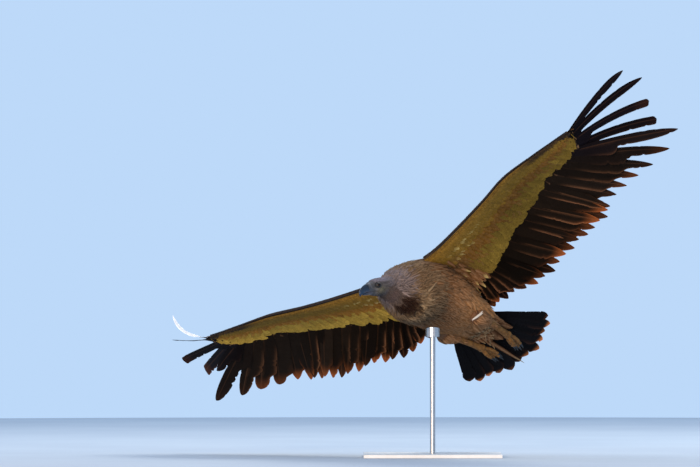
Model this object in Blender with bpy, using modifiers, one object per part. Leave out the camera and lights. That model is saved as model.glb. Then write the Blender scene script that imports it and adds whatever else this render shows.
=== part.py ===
"""White-backed vulture in soaring flight: a life-size museum model on a plain display stand.

Everything of the bird is drawn in its own frame, in metres: x forward, y to its left, z up, with the
origin in the middle of the trunk. One rotation then banks it on the stand. The stand's frame is the
part's frame: the origin is the middle of the base's underside, and +Z is up.
"""

import math

import bmesh
import bpy
import numpy as np
from mathutils import Euler, Matrix, Vector

# How the bird sits on its stand
BODY_HEIGHT = 0.530
HEADING, PITCH, BANK = -131.0, 23.0, 28.5
HEAD_HEADING, HEAD_PITCH, HEAD_ROLL = -134.0, -6.0, 0.0

GAP = 0.0003
VANE_THICKNESS = 0.003
# Pieces that meet at an angle need more room than a flat joint
BENT_GAP = 0.0024
# Room round the body for the arms, thighs and cradle that are cut to fit it
FITTED_GAP = 0.0014

# Sections below have a half width, a rise above their centre and a drop below it
# Trunk, ruff and neck, from the rump forward: centre x, y, z, half width, rise and drop
BODY_STATIONS = np.array([
    (-0.258, 0.000, -0.006, 0.086, 0.011, 0.014),
    (-0.225, 0.000, -0.005, 0.090, 0.028, 0.034),
    (-0.170, 0.000, -0.002, 0.098, 0.052, 0.055),
    (-0.100, 0.000, 0.000, 0.108, 0.076, 0.080),
    (-0.020, 0.000, 0.000, 0.117, 0.090, 0.096),
    (0.050, 0.000, -0.004, 0.119, 0.093, 0.106),
    (0.110, 0.000, -0.014, 0.112, 0.087, 0.115),
    (0.160, 0.000, -0.030, 0.098, 0.076, 0.114),
    (0.195, 0.001, -0.046, 0.084, 0.066, 0.099),
    (0.225, 0.002, -0.062, 0.066, 0.054, 0.077),
    (0.252, 0.003, -0.077, 0.050, 0.043, 0.056),
    (0.275, 0.004, -0.090, 0.040, 0.036, 0.043),
])
RUMP_END, TRUNK_START, RUFF_START, NECK_START = 0.0, 1.6, 7.2, 9.4
BODY_SIDES = 18

# Head, from the neck forward: distance along the head's axis, half width, rise and drop
HEAD_CENTRE = (0.345, -0.004, -0.120)
HEAD_STATIONS = np.array([
    (-0.058, 0.034, 0.031, 0.036),
    (-0.040, 0.031, 0.030, 0.033),
    (-0.020, 0.029, 0.030, 0.030),
    (0.000, 0.027, 0.029, 0.028),
    (0.012, 0.023, 0.025, 0.026),
    (0.022, 0.018, 0.020, 0.022),
])
# Bill: distance along the head's axis, height of the cutting edge, half width, rise and drop
UPPER_BILL = np.array([
    (0.0220, -0.0095, 0.0150, 0.0275, 0.0010),
    (0.0340, -0.0100, 0.0128, 0.0265, 0.0010),
    (0.0460, -0.0108, 0.0104, 0.0233, 0.0012),
    (0.0570, -0.0125, 0.0080, 0.0180, 0.0020),
    (0.0645, -0.0150, 0.0055, 0.0110, 0.0022),
    (0.0668, -0.0180, 0.0032, 0.0058, 0.0026),
    (0.0680, -0.0225, 0.0010, 0.0014, 0.0012),
])
LOWER_BILL = np.array([
    (0.0220, -0.0112, 0.0135, 0.0004, 0.0098),
    (0.0360, -0.0120, 0.0113, 0.0004, 0.0094),
    (0.0480, -0.0134, 0.0084, 0.0004, 0.0074),
    (0.0570, -0.0158, 0.0045, 0.0004, 0.0040),
])
BILL_SIDES = 12
EYE_PLACE = (0.004, 0.0205, 0.0085)
EYE_RADIUS = 0.0100

# Left wing, root to hand: leading edge, rear edge of the coverts, and thickness of the arm between
LEADING_EDGE = np.array([
    (0.150, 0.070, 0.045),
    (0.150, 0.140, 0.056),
    (0.178, 0.260, 0.069),
    (0.213, 0.385, 0.083),
    (0.248, 0.499, 0.097),
    (0.241, 0.620, 0.125),
    (0.234, 0.695, 0.142),
    (0.226, 0.752, 0.156),
])
COVERT_EDGE = np.array([
    (-0.140, 0.085, 0.045),
    (-0.118, 0.160, 0.060),
    (-0.080, 0.255, 0.085),
    (-0.025, 0.385, 0.120),
    (0.031, 0.503, 0.142),
    (0.090, 0.640, 0.148),
    (0.140, 0.722, 0.149),
    (0.216, 0.760, 0.157),
])
ARM_THICKNESS = (0.056, 0.054, 0.048, 0.038, 0.034, 0.024, 0.018, 0.012)
ARM_CAMBER = 0.085
ARM_CHORD_STEPS = (0.0, 0.05, 0.16, 0.34, 0.56, 0.8, 1.0)
ELBOW, WRIST, HAND_END = 2.2, 4.0, 7.0
# How far each wrist is lifted out of the symmetrical pose, and where that lift begins and ends along y
WRIST_LIFT = {"left": 0.003, "right": -0.024}
LIFT_SPAN = (0.08, 0.96)

# Remiges of the left wing: tips of a few secondaries, innermost first, and of all ten primaries
SECONDARY_TIPS = np.array([
    (-0.222, 0.096, 0.022),
    (-0.204, 0.310, 0.008),
    (-0.186, 0.505, 0.058),
    (-0.178, 0.640, 0.110),
])
PRIMARY_TIPS = np.array([
    (-0.162, 0.682, 0.128),
    (-0.134, 0.738, 0.122),
    (-0.112, 0.802, 0.119),
    (-0.104, 0.876, 0.120),
    (-0.078, 0.965, 0.126),
    (-0.060, 1.022, 0.168),
    (-0.034, 0.962, 0.230),
    (0.040, 0.988, 0.254),
    (0.088, 0.996, 0.317),
    (0.127, 0.952, 0.364),
])
SECONDARY_COUNT = 18
# Places along the covert edge where the first and last feather of each group emerge
SECONDARY_BASE = (0.45, 4.15)
PRIMARY_BASE = (4.4, 7.0)
# How far the middle of each primary bows outward from the straight line to its raised tip
PRIMARY_BOW = (0.0, 0.0, 0.0, 0.002, 0.004, 0.006, 0.010, 0.015, 0.022, 0.032)
# A primary in moult is short: its number and share of the full length
MOULT = {"left": (), "right": ((6, 0.52),)}
# The air bends each outermost primary by its own amount
LAST_TIP_RAISE = {"left": -0.013, "right": 0.014}
FINGER_WIDTH = (0.046, 0.046, 0.046, 0.044, 0.040, 0.038, 0.036, 0.036, 0.035, 0.030)
# Rows of points along the vanes, and the last row where each still touches its outer neighbour
PRIMARY_ROWS = (0.0, 0.12, 0.26, 0.42, 0.58, 0.74, 0.89, 1.0)
PRIMARY_SLOT_ROW = (6, 6, 6, 5, 5, 3, 2, 1, 1)
SECONDARY_ROWS = (0.0, 0.42, 0.80, 0.93, 1.0)
SECONDARY_SLOT_ROW = 2
SECONDARY_WIDTH = 0.042
# Vanes narrow from this share of their length to this share of their width
TAPER_START, TAPER_END = 0.86, 0.3

# Tail fan
TAIL_PIVOT = (-0.200, 0.000, -0.004)
TAIL_COUNT, TAIL_HALF_ANGLE = 12, 42.0
TAIL_SWING = 1.3
TAIL_LENGTH, TAIL_EDGE_LENGTH = 0.316, 0.282
TAIL_ROLL, TAIL_DROOP = 9.0, 3.0
TAIL_ROOT_HALF_WIDTH = 0.084
TAIL_FEATHER_WIDTH = 0.044
TAIL_ROWS = (0.0, 0.4, 0.82, 0.94, 1.0)
TAIL_SLOT_ROW = 2
TAIL_TAPER = (1.0, 1.0, 1.0, 0.85, 0.35)
# Wear takes up to this share off a rectrix
TAIL_WEAR = 0.05

# Legs, stretched back under the tail: the left leg's hip, ankle, toe joint and toe tips
LEG_PATH = np.array([
    (-0.090, 0.060, -0.036),
    (-0.150, 0.070, -0.044),
    (-0.212, 0.064, -0.052),
    (-0.300, 0.054, -0.056),
    (-0.398, 0.038, -0.050),
])
LEG_SHIFT = {"left": 0.008, "right": 0.004}
THIGH_RADII = (0.045, 0.044, 0.036, 0.024, 0.012)
SHANK_RADII = (0.0095, 0.0085, 0.0085, 0.0105)
# Toes: spread to the outside, length, and height over the ball of the foot; the hind toe comes last
TOES = (
    (-0.016, 0.078, -0.002),
    (0.000, 0.092, -0.002),
    (0.015, 0.070, -0.002),
    (-0.004, 0.046, -0.014),
)
TOE_RADIUS = 0.0065
# The ball of the foot: distance along the shank and radius of its rings
FOOT_STEPS = (0.0, 0.010, 0.024)
FOOT_RADII = (0.0100, 0.0125, 0.0090)
FOOT_WIDENING = 1.25
CLAW_LENGTH, CLAW_ARC = 0.020, 62.0
CLAW_RADIUS, CLAW_TIP_RADIUS = 0.0049, 0.0007

# Stand
BASE_SIZE = (0.46, 0.40, 0.012)
BASE_CORNER = 0.002
ROD_RADIUS = 0.009
CRADLE_RADIUS, CRADLE_HEIGHT = 0.024, 0.050
# Middle of the cradle below the body's own centre
CRADLE_DROP = 0.105

SIDES = {"left": 1.0, "right": -1.0}
UP = np.array((0.0, 0.0, 1.0))


# ---------------------------------------------------------------- frames and curves

def turn(heading, pitch, roll):
    """Rotation that takes x forward, y left, z up to a heading, nose-up pitch and left-wing-up roll."""
    return Euler((math.radians(roll), math.radians(-pitch), math.radians(heading))).to_matrix()


POSE = Matrix.Translation((0, 0, BODY_HEIGHT)) @ turn(HEADING, PITCH, BANK).to_4x4()
HEAD_TURN = turn(HEADING, PITCH, BANK).inverted() @ turn(HEAD_HEADING, HEAD_PITCH, HEAD_ROLL)


def smooth_curve(points, t):
    """Point at t on the smooth curve through the points; t counts the points from 0."""
    last = len(points) - 1
    start = min(max(int(t), 0), last - 1)
    part = t - start
    before, first, second, after = (points[min(max(start + i, 0), last)] for i in (-1, 0, 1, 2))
    bend = 2 * before - 5 * first + 4 * second - after
    twist = 3 * first - before - 3 * second + after
    return 0.5 * (2 * first + (second - before) * part + bend * part ** 2 + twist * part ** 3)


def unit(vector):
    return vector / np.linalg.norm(vector)


def section(centre, forward, up, half_width, rise, drop, count):
    """Closed ring round centre, at right angles to forward: an ellipse with its own rise and drop."""
    forward = unit(forward)
    side = unit(np.cross(up, forward))
    top = np.cross(forward, side)
    ring = []
    for i in range(count):
        angle = 2 * math.pi * i / count
        height = rise if math.sin(angle) > 0 else drop
        ring.append(centre + side * half_width * math.cos(angle) + top * height * math.sin(angle))
    return ring


# ---------------------------------------------------------------- objects

def new_collection(name):
    collection = bpy.data.collections.new(name)
    bpy.context.scene.collection.children.link(collection)
    return collection


def new_material(name, colour, roughness, metallic=0.0):
    material = bpy.data.materials.new(name)
    material.use_nodes = True
    shader = material.node_tree.nodes["Principled BSDF"]
    shader.inputs["Base Color"].default_value = (*colour, 1.0)
    shader.inputs["Roughness"].default_value = roughness
    shader.inputs["Metallic"].default_value = metallic
    return material


def place(name, bm, collection, material=None, matrix=POSE):
    """Turn a bmesh drawn in the bird's frame into an object posed on the stand."""
    bmesh.ops.recalc_face_normals(bm, faces=bm.faces)
    mesh = bpy.data.meshes.new(name)
    bm.to_mesh(mesh)
    bm.free()
    mesh.shade_smooth()
    if material:
        mesh.materials.append(material)
    item = bpy.data.objects.new(name, mesh)
    item.matrix_world = matrix
    collection.objects.link(item)
    return item


def loft_mesh(rings):
    """Closed skin through rings of the same number of points, with flat ends."""
    bm = bmesh.new()
    loops = [[bm.verts.new(point) for point in ring] for ring in rings]
    for back, front in zip(loops, loops[1:]):
        for i in range(len(back)):
            j = (i + 1) % len(back)
            bm.faces.new((back[i], back[j], front[j], front[i]))
    bm.faces.new(loops[0])
    bm.faces.new(loops[-1])
    return bm


def adopt(item, name, collection, material=None):
    """Name a new primitive and move it to its collection."""
    for owner in list(item.users_collection):
        owner.objects.unlink(item)
    collection.objects.link(item)
    item.name = name
    item.data.shade_smooth()
    if material:
        item.data.materials.append(material)
    return item


def add_ball(name, radius, centre, collection, material=None):
    bpy.ops.mesh.primitive_uv_sphere_add(segments=14, ring_count=9, radius=radius, location=centre)
    return adopt(bpy.context.object, name, collection, material)


def as_cutter(item):
    item.hide_render = True
    item.display_type = "WIRE"
    return item


def boolean(item, other, operation="DIFFERENCE", solver="EXACT"):
    modifier = item.modifiers.new(operation.lower(), "BOOLEAN")
    modifier.operation = operation
    modifier.solver = solver
    modifier.object = other


def thicken(plate):
    modifier = plate.modifiers.new("thickness", "SOLIDIFY")
    modifier.thickness = VANE_THICKNESS
    modifier.offset = 0.0


# ---------------------------------------------------------------- trunk, neck and head

def head_point(forward, left, up):
    """A point of the head's own frame, in the bird's frame."""
    return np.array(HEAD_CENTRE) + np.array(HEAD_TURN @ Vector((forward, left, up)))


def spine(t):
    """Centre, direction and size of the body's section at station t."""
    here = smooth_curve(BODY_STATIONS, t)
    behind = smooth_curve(BODY_STATIONS, max(t - 0.05, 0))
    ahead = smooth_curve(BODY_STATIONS, min(t + 0.05, len(BODY_STATIONS) - 1))
    return here[:3], unit(ahead[:3] - behind[:3]), here[3:]


def body_ring(t, grow=0.0, shift=0.0):
    centre, forward, size = spine(t)
    return section(centre + forward * shift, forward, UP, *(size + grow), BODY_SIDES)


def body_rings(start, end, grow=0.0, trim=GAP / 2):
    """Rings from one station to another, with both ends trimmed so that neighbours stay apart."""
    inner = [t for t in np.arange(0.0, len(BODY_STATIONS), 0.8) if start + 0.3 < t < end - 0.3]
    rings = [body_ring(start, grow, trim)]
    rings += [body_ring(t, grow) for t in inner]
    rings.append(body_ring(end, grow, -trim))
    return rings


def add_body(collection, cutters, materials):
    last = len(BODY_STATIONS) - 1
    parts = {
        "tail_base": (RUMP_END, TRUNK_START, "plumage"),
        "trunk": (TRUNK_START, RUFF_START, "plumage"),
        "ruff": (RUFF_START, NECK_START, "ruff"),
        "neck": (NECK_START, last, "down"),
    }
    for name, (start, end, material) in parts.items():
        place(name, loft_mesh(body_rings(start, end)), collection, materials[material])
    rings = body_rings(RUMP_END, last, FITTED_GAP, -FITTED_GAP)
    return as_cutter(place("body_clearance", loft_mesh(rings), cutters))


def add_head(collection, cutters, materials):
    axis = np.array(HEAD_TURN @ Vector((1, 0, 0)))
    up = np.array(HEAD_TURN @ Vector((0, 0, 1)))
    neck_end = len(BODY_STATIONS) - 1
    neck_forward = spine(neck_end)[1]
    rings = [body_ring(neck_end, shift=GAP)]
    for i, (forward, *size) in enumerate(HEAD_STATIONS):
        lean = axis if i else unit(axis + neck_forward)
        rings.append(section(head_point(forward, 0, 0), lean, up, *size, BODY_SIDES))
    head = place("head", loft_mesh(rings), collection, materials["head"])

    for side, sign in SIDES.items():
        forward, left, height = EYE_PLACE
        centre = POSE @ Vector(head_point(forward, sign * left, height))
        add_ball(side + "_eye", EYE_RADIUS, centre, collection, materials["eye"])
        socket = add_ball(side + "_eye_socket", EYE_RADIUS + GAP, centre, cutters)
        boolean(head, as_cutter(socket))

    for name, stations in (("upper_bill", UPPER_BILL), ("lower_bill", LOWER_BILL)):
        rings = []
        for i, (forward, height, *size) in enumerate(stations):
            ahead = stations[min(i + 1, len(stations) - 1)]
            slope = (ahead[:2] - stations[i - 1][:2]) if i else np.array((1.0, 0.0))
            along = np.array(HEAD_TURN @ Vector((slope[0], 0, slope[1])))
            rings.append(section(head_point(forward + GAP, 0, height), along, up, *size, BILL_SIDES))
        place(name, loft_mesh(rings), collection, materials["bill"])


# ---------------------------------------------------------------- wings

def wing_point(side, point):
    """A point of the left wing, lifted as that wing is and mirrored for the right one."""
    start, end = LIFT_SPAN
    part = min(max((point[1] - start) / (end - start), 0.0), 1.0)
    lift = WRIST_LIFT[side] * math.sin(math.pi * part)
    return np.array((point[0], point[1] * SIDES[side], point[2] + lift))


ARM_STATIONS = [0.0, 0.55, 1.1, 1.65, ELBOW, 2.8, 3.4, WRIST, 4.6, 5.2, 5.6, 6.0, 6.35, 6.7, HAND_END]


def covert_edge(t):
    """Rear edge of the coverts: straight between the arm's stations, so that the vanes fit behind it."""
    index = max(i for i, station in enumerate(ARM_STATIONS[:-1]) if station <= t)
    first, second = ARM_STATIONS[index], ARM_STATIONS[index + 1]
    part = (t - first) / (second - first)
    return smooth_curve(COVERT_EDGE, first) * (1 - part) + smooth_curve(COVERT_EDGE, second) * part


def arm_ring(t, shift=0.0):
    """Cambered section of the arm and its coverts at station t, blunt at the rear."""
    front, rear = smooth_curve(LEADING_EDGE, t), covert_edge(t)
    thickness = np.interp(t, range(len(ARM_THICKNESS)), ARM_THICKNESS)
    chord = rear - front
    before, after = max(t - 0.3, 0.0), min(t + 0.3, HAND_END)
    outward = unit(smooth_curve(LEADING_EDGE, after) - smooth_curve(LEADING_EDGE, before))
    up = unit(np.cross(unit(chord), outward))
    up = up if up[2] > 0 else -up
    camber = up * ARM_CAMBER * np.linalg.norm(chord)
    upper, lower = [], []
    for step in ARM_CHORD_STEPS:
        middle = front + chord * step + camber * 4 * step * (1 - step)
        bulge = max(math.sin(math.pi * step ** 0.5), 0.0) ** 0.8
        half = (thickness - VANE_THICKNESS) / 2 * bulge + VANE_THICKNESS / 2
        upper.append(middle + up * half + outward * shift)
        lower.append(middle - up * half + outward * shift)
    return upper + lower[::-1]


def add_arm(side, collection, clearance, material):
    spans = {"upper_arm": (0.0, ELBOW), "forearm": (ELBOW, WRIST), "hand": (WRIST, HAND_END)}
    for name, (start, end) in spans.items():
        stations = [t for t in ARM_STATIONS if start <= t <= end]
        rings = []
        for t in stations:
            shift = GAP / 2 if t == start else -GAP / 2 if t == end else 0.0
            rings.append([wing_point(side, point) for point in arm_ring(t, shift)])
        piece = place(side + "_" + name, loft_mesh(rings), collection, material)
        if name == "upper_arm":
            boolean(piece, clearance)


def vane_tips(side):
    """Base station on the covert edge, tip and outward bow of every remex, innermost first."""
    secondaries = []
    for i in range(SECONDARY_COUNT):
        part = i / (SECONDARY_COUNT - 1)
        tip = smooth_curve(SECONDARY_TIPS, part * (len(SECONDARY_TIPS) - 1))
        ragged = 0.009 * math.sin(2.4 * i) - 0.004 * math.cos(5.1 * i)
        base = np.interp(part, (0, 1), SECONDARY_BASE)
        secondaries.append((base, tip + np.array((ragged, 0, 0)), 0.0))
    primaries = []
    moult = dict(MOULT[side])
    last = len(PRIMARY_TIPS) - 1
    for i, tip in enumerate(PRIMARY_TIPS):
        base = np.interp(i, (0, last), PRIMARY_BASE)
        root = covert_edge(base)
        tip = root + (tip - root) * moult.get(i + 1, 1.0)
        tip[2] += LAST_TIP_RAISE[side] if i == last else 0.0
        primaries.append((base, tip, PRIMARY_BOW[i]))
    return secondaries, primaries


def vane_line(vane, t):
    """Point at t on a remex's shaft, from the covert edge to its tip."""
    base, tip, bow = vane
    root = covert_edge(base)
    root = root + unit(tip - root) * BENT_GAP
    return root + (tip - root) * t + np.array((0, bow, bow / 3)) * 4 * t * (1 - t)


def add_vanes(name, side, group, ring, rows, slot_rows, widths, collection, material):
    """One closed plate for a group of remiges, whose tips part from their slot rows on.

    ring holds the group and its neighbours, so that the outer edges follow them too.
    """
    bm = bmesh.new()
    first = ring.index(group[0])
    shared = {}

    def vertex(point):
        return bm.verts.new(wing_point(side, point))

    def across(index, t):
        """Unit vector from the inner to the outer edge of a vane."""
        inner, outer = ring[max(index - 1, 0)], ring[min(index + 1, len(ring) - 1)]
        line = vane_line(outer, t) - vane_line(inner, t)
        tangent = unit(vane_line(ring[index], min(t + 0.05, 1.05)) - vane_line(ring[index], t - 0.05))
        return unit(line - tangent * np.dot(line, tangent))

    def edge(index, row, outer):
        """Vertex on a vane's inner or outer edge: on the seam with its neighbour until they part."""
        neighbour = index + 1 if outer else index - 1
        t = rows[row]
        centre = vane_line(ring[index], t)
        inside = 0 <= neighbour < len(ring)
        gap_index = index if outer else index - 1
        slot = slot_rows[min(max(gap_index - first, 0), len(slot_rows) - 1)]
        sign = 1 if outer else -1
        if inside and row <= slot:
            seam = (centre + vane_line(ring[neighbour], t)) / 2
            if ring[neighbour] in group:
                key = (min(index, neighbour), row)
                if key not in shared:
                    shared[key] = vertex(seam)
                return shared[key]
            return vertex(seam - across(index, t) * sign * GAP)
        taper = np.interp(t, (TAPER_START, 1.0), (1.0, TAPER_END))
        half = widths[index - first] / 2 * taper
        if not inside and row == 0:
            other = ring[index - sign]
            return vertex(centre + (centre - vane_line(other, t)) / 2)
        if not inside:
            half = min(half, 0.5 * widths[index - first] * (0.45 + t))
        return vertex(centre + across(index, t) * sign * half)

    for index in range(first, first + len(group)):
        column = [(edge(index, row, False), vertex(vane_line(ring[index], t)), edge(index, row, True))
                  for row, t in enumerate(rows)]
        for near, far in zip(column, column[1:]):
            for left, right in ((0, 1), (1, 2)):
                bm.faces.new((near[left], near[right], far[right], far[left]))
    thicken(place(name, bm, collection, material))


def add_wing(side, collection, clearance, materials):
    add_arm(side, collection, clearance, materials["coverts"])
    secondaries, primaries = vane_tips(side)
    ring = secondaries + primaries
    add_vanes(side + "_secondaries", side, secondaries, ring, SECONDARY_ROWS,
              [SECONDARY_SLOT_ROW] * SECONDARY_COUNT, [SECONDARY_WIDTH] * SECONDARY_COUNT,
              collection, materials["flight_feathers"])
    add_vanes(side + "_primaries", side, primaries, ring, PRIMARY_ROWS,
              PRIMARY_SLOT_ROW, FINGER_WIDTH, collection, materials["flight_feathers"])


# ---------------------------------------------------------------- tail

def tail_line(index, t):
    """Point at t on a rectrix's shaft; index runs from -1, the right edge, to 1, the left."""
    angle = math.radians(TAIL_HALF_ANGLE * index + TAIL_SWING)
    length = TAIL_LENGTH + (TAIL_EDGE_LENGTH - TAIL_LENGTH) * index ** 2
    pivot = np.array(TAIL_PIVOT)
    tip = pivot + length * np.array((-math.cos(angle), math.sin(angle), 0.0))
    base = np.array((BODY_STATIONS[0][0] - GAP, TAIL_ROOT_HALF_WIDTH * index, pivot[2]))
    point = base + (tip - base) * t
    roll = math.radians(TAIL_ROLL)
    drop = math.tan(math.radians(TAIL_DROOP)) * (base[0] - point[0])
    return np.array((point[0], point[1] * math.cos(roll), point[2] + point[1] * math.sin(roll) - drop))


def add_tail(collection, material):
    bm = bmesh.new()
    step = 2.0 / (TAIL_COUNT - 1)
    seams = {}

    def seam_vertex(edge_number, row):
        """Vertex shared by two neighbours; edge_number counts the edges from the right."""
        key = (edge_number, row)
        if key not in seams:
            seams[key] = bm.verts.new(tail_line(-1 + (edge_number - 0.5) * step, TAIL_ROWS[row]))
        return seams[key]

    for k in range(TAIL_COUNT):
        index = -1 + k * step
        angle = math.radians(TAIL_HALF_ANGLE * index + TAIL_SWING)
        wear = 1.0 - TAIL_WEAR * abs(math.sin(2.3 * k))
        columns = []
        for row, t in enumerate(TAIL_ROWS):
            parted = row > TAIL_SLOT_ROW
            centre = tail_line(index, t * wear if parted else t)
            half = TAIL_FEATHER_WIDTH / 2 * TAIL_TAPER[row] * (0.35 + 0.65 * t)
            across = np.array((math.sin(angle) if row else 0.0, math.cos(angle), 0.0))
            column = []
            for edge_number, sign in ((k, -1), (k + 1, 1)):
                if parted or edge_number in (0, TAIL_COUNT):
                    column.append(bm.verts.new(centre + across * sign * half))
                else:
                    column.append(seam_vertex(edge_number, row))
            columns.append((column[0], bm.verts.new(centre), column[1]))
        for near, far in zip(columns, columns[1:]):
            for left, right in ((0, 1), (1, 2)):
                bm.faces.new((near[left], near[right], far[right], far[left]))
    thicken(place("tail_feathers", bm, collection, material))


# ---------------------------------------------------------------- legs

def leg_point(side, point):
    return np.array((point[0], point[1] * SIDES[side] + LEG_SHIFT[side], point[2]))


def tube(points, radii, count, widening=1.0):
    """Rings of a tapering limb along a line of points."""
    rings = []
    for i, (point, radius) in enumerate(zip(points, radii)):
        along = points[min(i + 1, len(points) - 1)] - points[max(i - 1, 0)]
        rings.append(section(point, along, UP, radius * widening, radius, radius, count))
    return rings


def claw_rings(base, along, down):
    """A claw: a cone bent down along an arc."""
    arc = math.radians(CLAW_ARC)
    points, radii = [], []
    for part in (0.0, 0.25, 0.5, 0.75, 1.0):
        reach = CLAW_LENGTH * math.sin(arc * part) / math.sin(arc)
        points.append(base + along * reach + down * CLAW_LENGTH * 0.55 * (1 - math.cos(arc * part)))
        radii.append(np.interp(part, (0, 1), (CLAW_RADIUS, CLAW_TIP_RADIUS)))
    return tube(points, radii, 8)


def add_leg(side, collection, cutters, clearance, materials):
    hip, knee, ankle, ball, tips = (leg_point(side, point) for point in LEG_PATH)
    steps = np.linspace(0, 2, len(THIGH_RADII))
    thigh_points = [smooth_curve(np.array([hip, knee, ankle]), step) for step in steps]
    thigh_rings = tube(thigh_points, THIGH_RADII, 14, 0.8)
    thigh = place(side + "_thigh", loft_mesh(thigh_rings), collection, materials["plumage"])
    boolean(thigh, clearance, solver="MANIFOLD")

    along = unit(ball - ankle)
    start = ankle + unit(ankle - thigh_points[-2]) * BENT_GAP
    shank_points = [start + (ball - start) * part for part in (0.0, 0.3, 0.7, 1.0)]
    shank_rings = tube(shank_points, SHANK_RADII, 10)
    place(side + "_shank", loft_mesh(shank_rings), collection, materials["leg_skin"])

    direction = unit(tips - ball)
    across = unit(np.cross(UP, direction)) * SIDES[side]
    ball_start = ball + along * BENT_GAP
    foot_rings = tube([ball_start + along * step for step in FOOT_STEPS], FOOT_RADII, 10, FOOT_WIDENING)
    foot = place(side + "_foot", loft_mesh(foot_rings), collection, materials["leg_skin"])
    for number, (spread, length, height) in enumerate(TOES, 1):
        root = ball_start + along * 0.012 + across * spread * 0.35 + UP * height * 0.4
        bend = root + direction * length * 0.5 + across * spread * 0.8 + UP * height
        end = root + direction * length + across * spread * 0.9 + UP * (height - 0.006)
        toe_rings = tube([root, bend, end], (TOE_RADIUS, TOE_RADIUS * 0.95, TOE_RADIUS * 0.7), 8)
        toe = place("{}_toe_{}".format(side, number), loft_mesh(toe_rings), cutters)
        boolean(foot, as_cutter(toe), "UNION")
        aim = unit(end - bend)
        claw = claw_rings(end + aim * GAP, aim, -UP)
        place("{}_claw_{}".format(side, number), loft_mesh(claw), collection, materials["claw"])


# ---------------------------------------------------------------- stand

def add_stand(collection, clearance, materials):
    width, depth, height = BASE_SIZE
    bpy.ops.mesh.primitive_cube_add(size=1, location=(0, 0, height / 2))
    base = adopt(bpy.context.object, "stand_base", collection, materials["stand_paint"])
    base.data.shade_flat()
    base.scale = BASE_SIZE
    bpy.ops.object.transform_apply(location=False, rotation=False, scale=True)
    bevel = base.modifiers.new("edges", "BEVEL")
    bevel.width = BASE_CORNER
    bevel.segments = 2

    top = BODY_HEIGHT - CRADLE_DROP
    rod_length = top - CRADLE_HEIGHT / 2 - height - 2 * GAP
    bpy.ops.mesh.primitive_cylinder_add(vertices=20, radius=ROD_RADIUS, depth=rod_length,
                                        location=(0, 0, height + GAP + rod_length / 2))
    adopt(bpy.context.object, "stand_rod", collection, materials["stand_steel"])

    bpy.ops.mesh.primitive_cylinder_add(vertices=20, radius=CRADLE_RADIUS, depth=CRADLE_HEIGHT,
                                        location=(0, 0, top))
    cradle = adopt(bpy.context.object, "stand_cradle", collection, materials["stand_steel"])
    boolean(cradle, clearance)


def main():
    for item in list(bpy.data.objects):
        bpy.data.objects.remove(item, do_unlink=True)
    parts = new_collection("white_backed_vulture")
    cutters = new_collection("cutters")
    materials = {
        "plumage": new_material("plumage", (0.36, 0.25, 0.16), 0.8),
        "ruff": new_material("ruff", (0.45, 0.36, 0.26), 0.85),
        "down": new_material("down", (0.33, 0.28, 0.25), 0.9),
        "head": new_material("head", (0.20, 0.20, 0.21), 0.7),
        "bill": new_material("bill", (0.05, 0.07, 0.09), 0.35),
        "eye": new_material("eye", (0.03, 0.02, 0.015), 0.1),
        "coverts": new_material("coverts", (0.42, 0.33, 0.14), 0.75),
        "flight_feathers": new_material("flight_feathers", (0.06, 0.045, 0.035), 0.6),
        "leg_skin": new_material("leg_skin", (0.24, 0.18, 0.11), 0.7),
        "claw": new_material("claw", (0.03, 0.03, 0.03), 0.4),
        "stand_paint": new_material("stand_paint", (0.62, 0.62, 0.60), 0.5),
        "stand_steel": new_material("stand_steel", (0.55, 0.55, 0.56), 0.35, 1.0),
    }
    clearance = add_body(parts, cutters, materials)
    add_head(parts, cutters, materials)
    for side in SIDES:
        add_wing(side, parts, clearance, materials)
        add_leg(side, parts, cutters, clearance, materials)
    add_tail(parts, materials["flight_feathers"])
    add_stand(parts, clearance, materials)


main()
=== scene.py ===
"""White-backed vulture in soaring flight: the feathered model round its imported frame.

The solids' sizes are repeated from the part's source, in the bird's own frame: x forward, y to its
left, z up, in metres, with the origin in the middle of the trunk. Every feather is laid on these
shapes, and one rotation then banks the bird on its stand.
"""

import math

import bmesh
import bpy
import numpy as np
from mathutils import Euler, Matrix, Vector


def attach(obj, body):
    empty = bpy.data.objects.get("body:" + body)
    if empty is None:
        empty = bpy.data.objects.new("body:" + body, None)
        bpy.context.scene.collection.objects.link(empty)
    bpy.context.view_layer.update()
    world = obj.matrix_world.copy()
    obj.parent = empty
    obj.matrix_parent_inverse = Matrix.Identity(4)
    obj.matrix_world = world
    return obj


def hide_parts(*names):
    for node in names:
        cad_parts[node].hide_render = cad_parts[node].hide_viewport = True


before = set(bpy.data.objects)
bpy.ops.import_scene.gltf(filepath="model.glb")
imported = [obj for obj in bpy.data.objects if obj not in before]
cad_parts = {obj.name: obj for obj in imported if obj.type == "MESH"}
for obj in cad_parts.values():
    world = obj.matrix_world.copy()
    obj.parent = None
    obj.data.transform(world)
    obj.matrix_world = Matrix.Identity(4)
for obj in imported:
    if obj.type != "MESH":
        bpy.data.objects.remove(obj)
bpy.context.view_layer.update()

# ---------------------------------------------------------------- sizes of the solids

BODY_HEIGHT = 0.530
HEADING, PITCH, BANK = -131.0, 23.0, 28.5
HEAD_HEADING, HEAD_PITCH, HEAD_ROLL = -134.0, -6.0, 0.0

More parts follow.
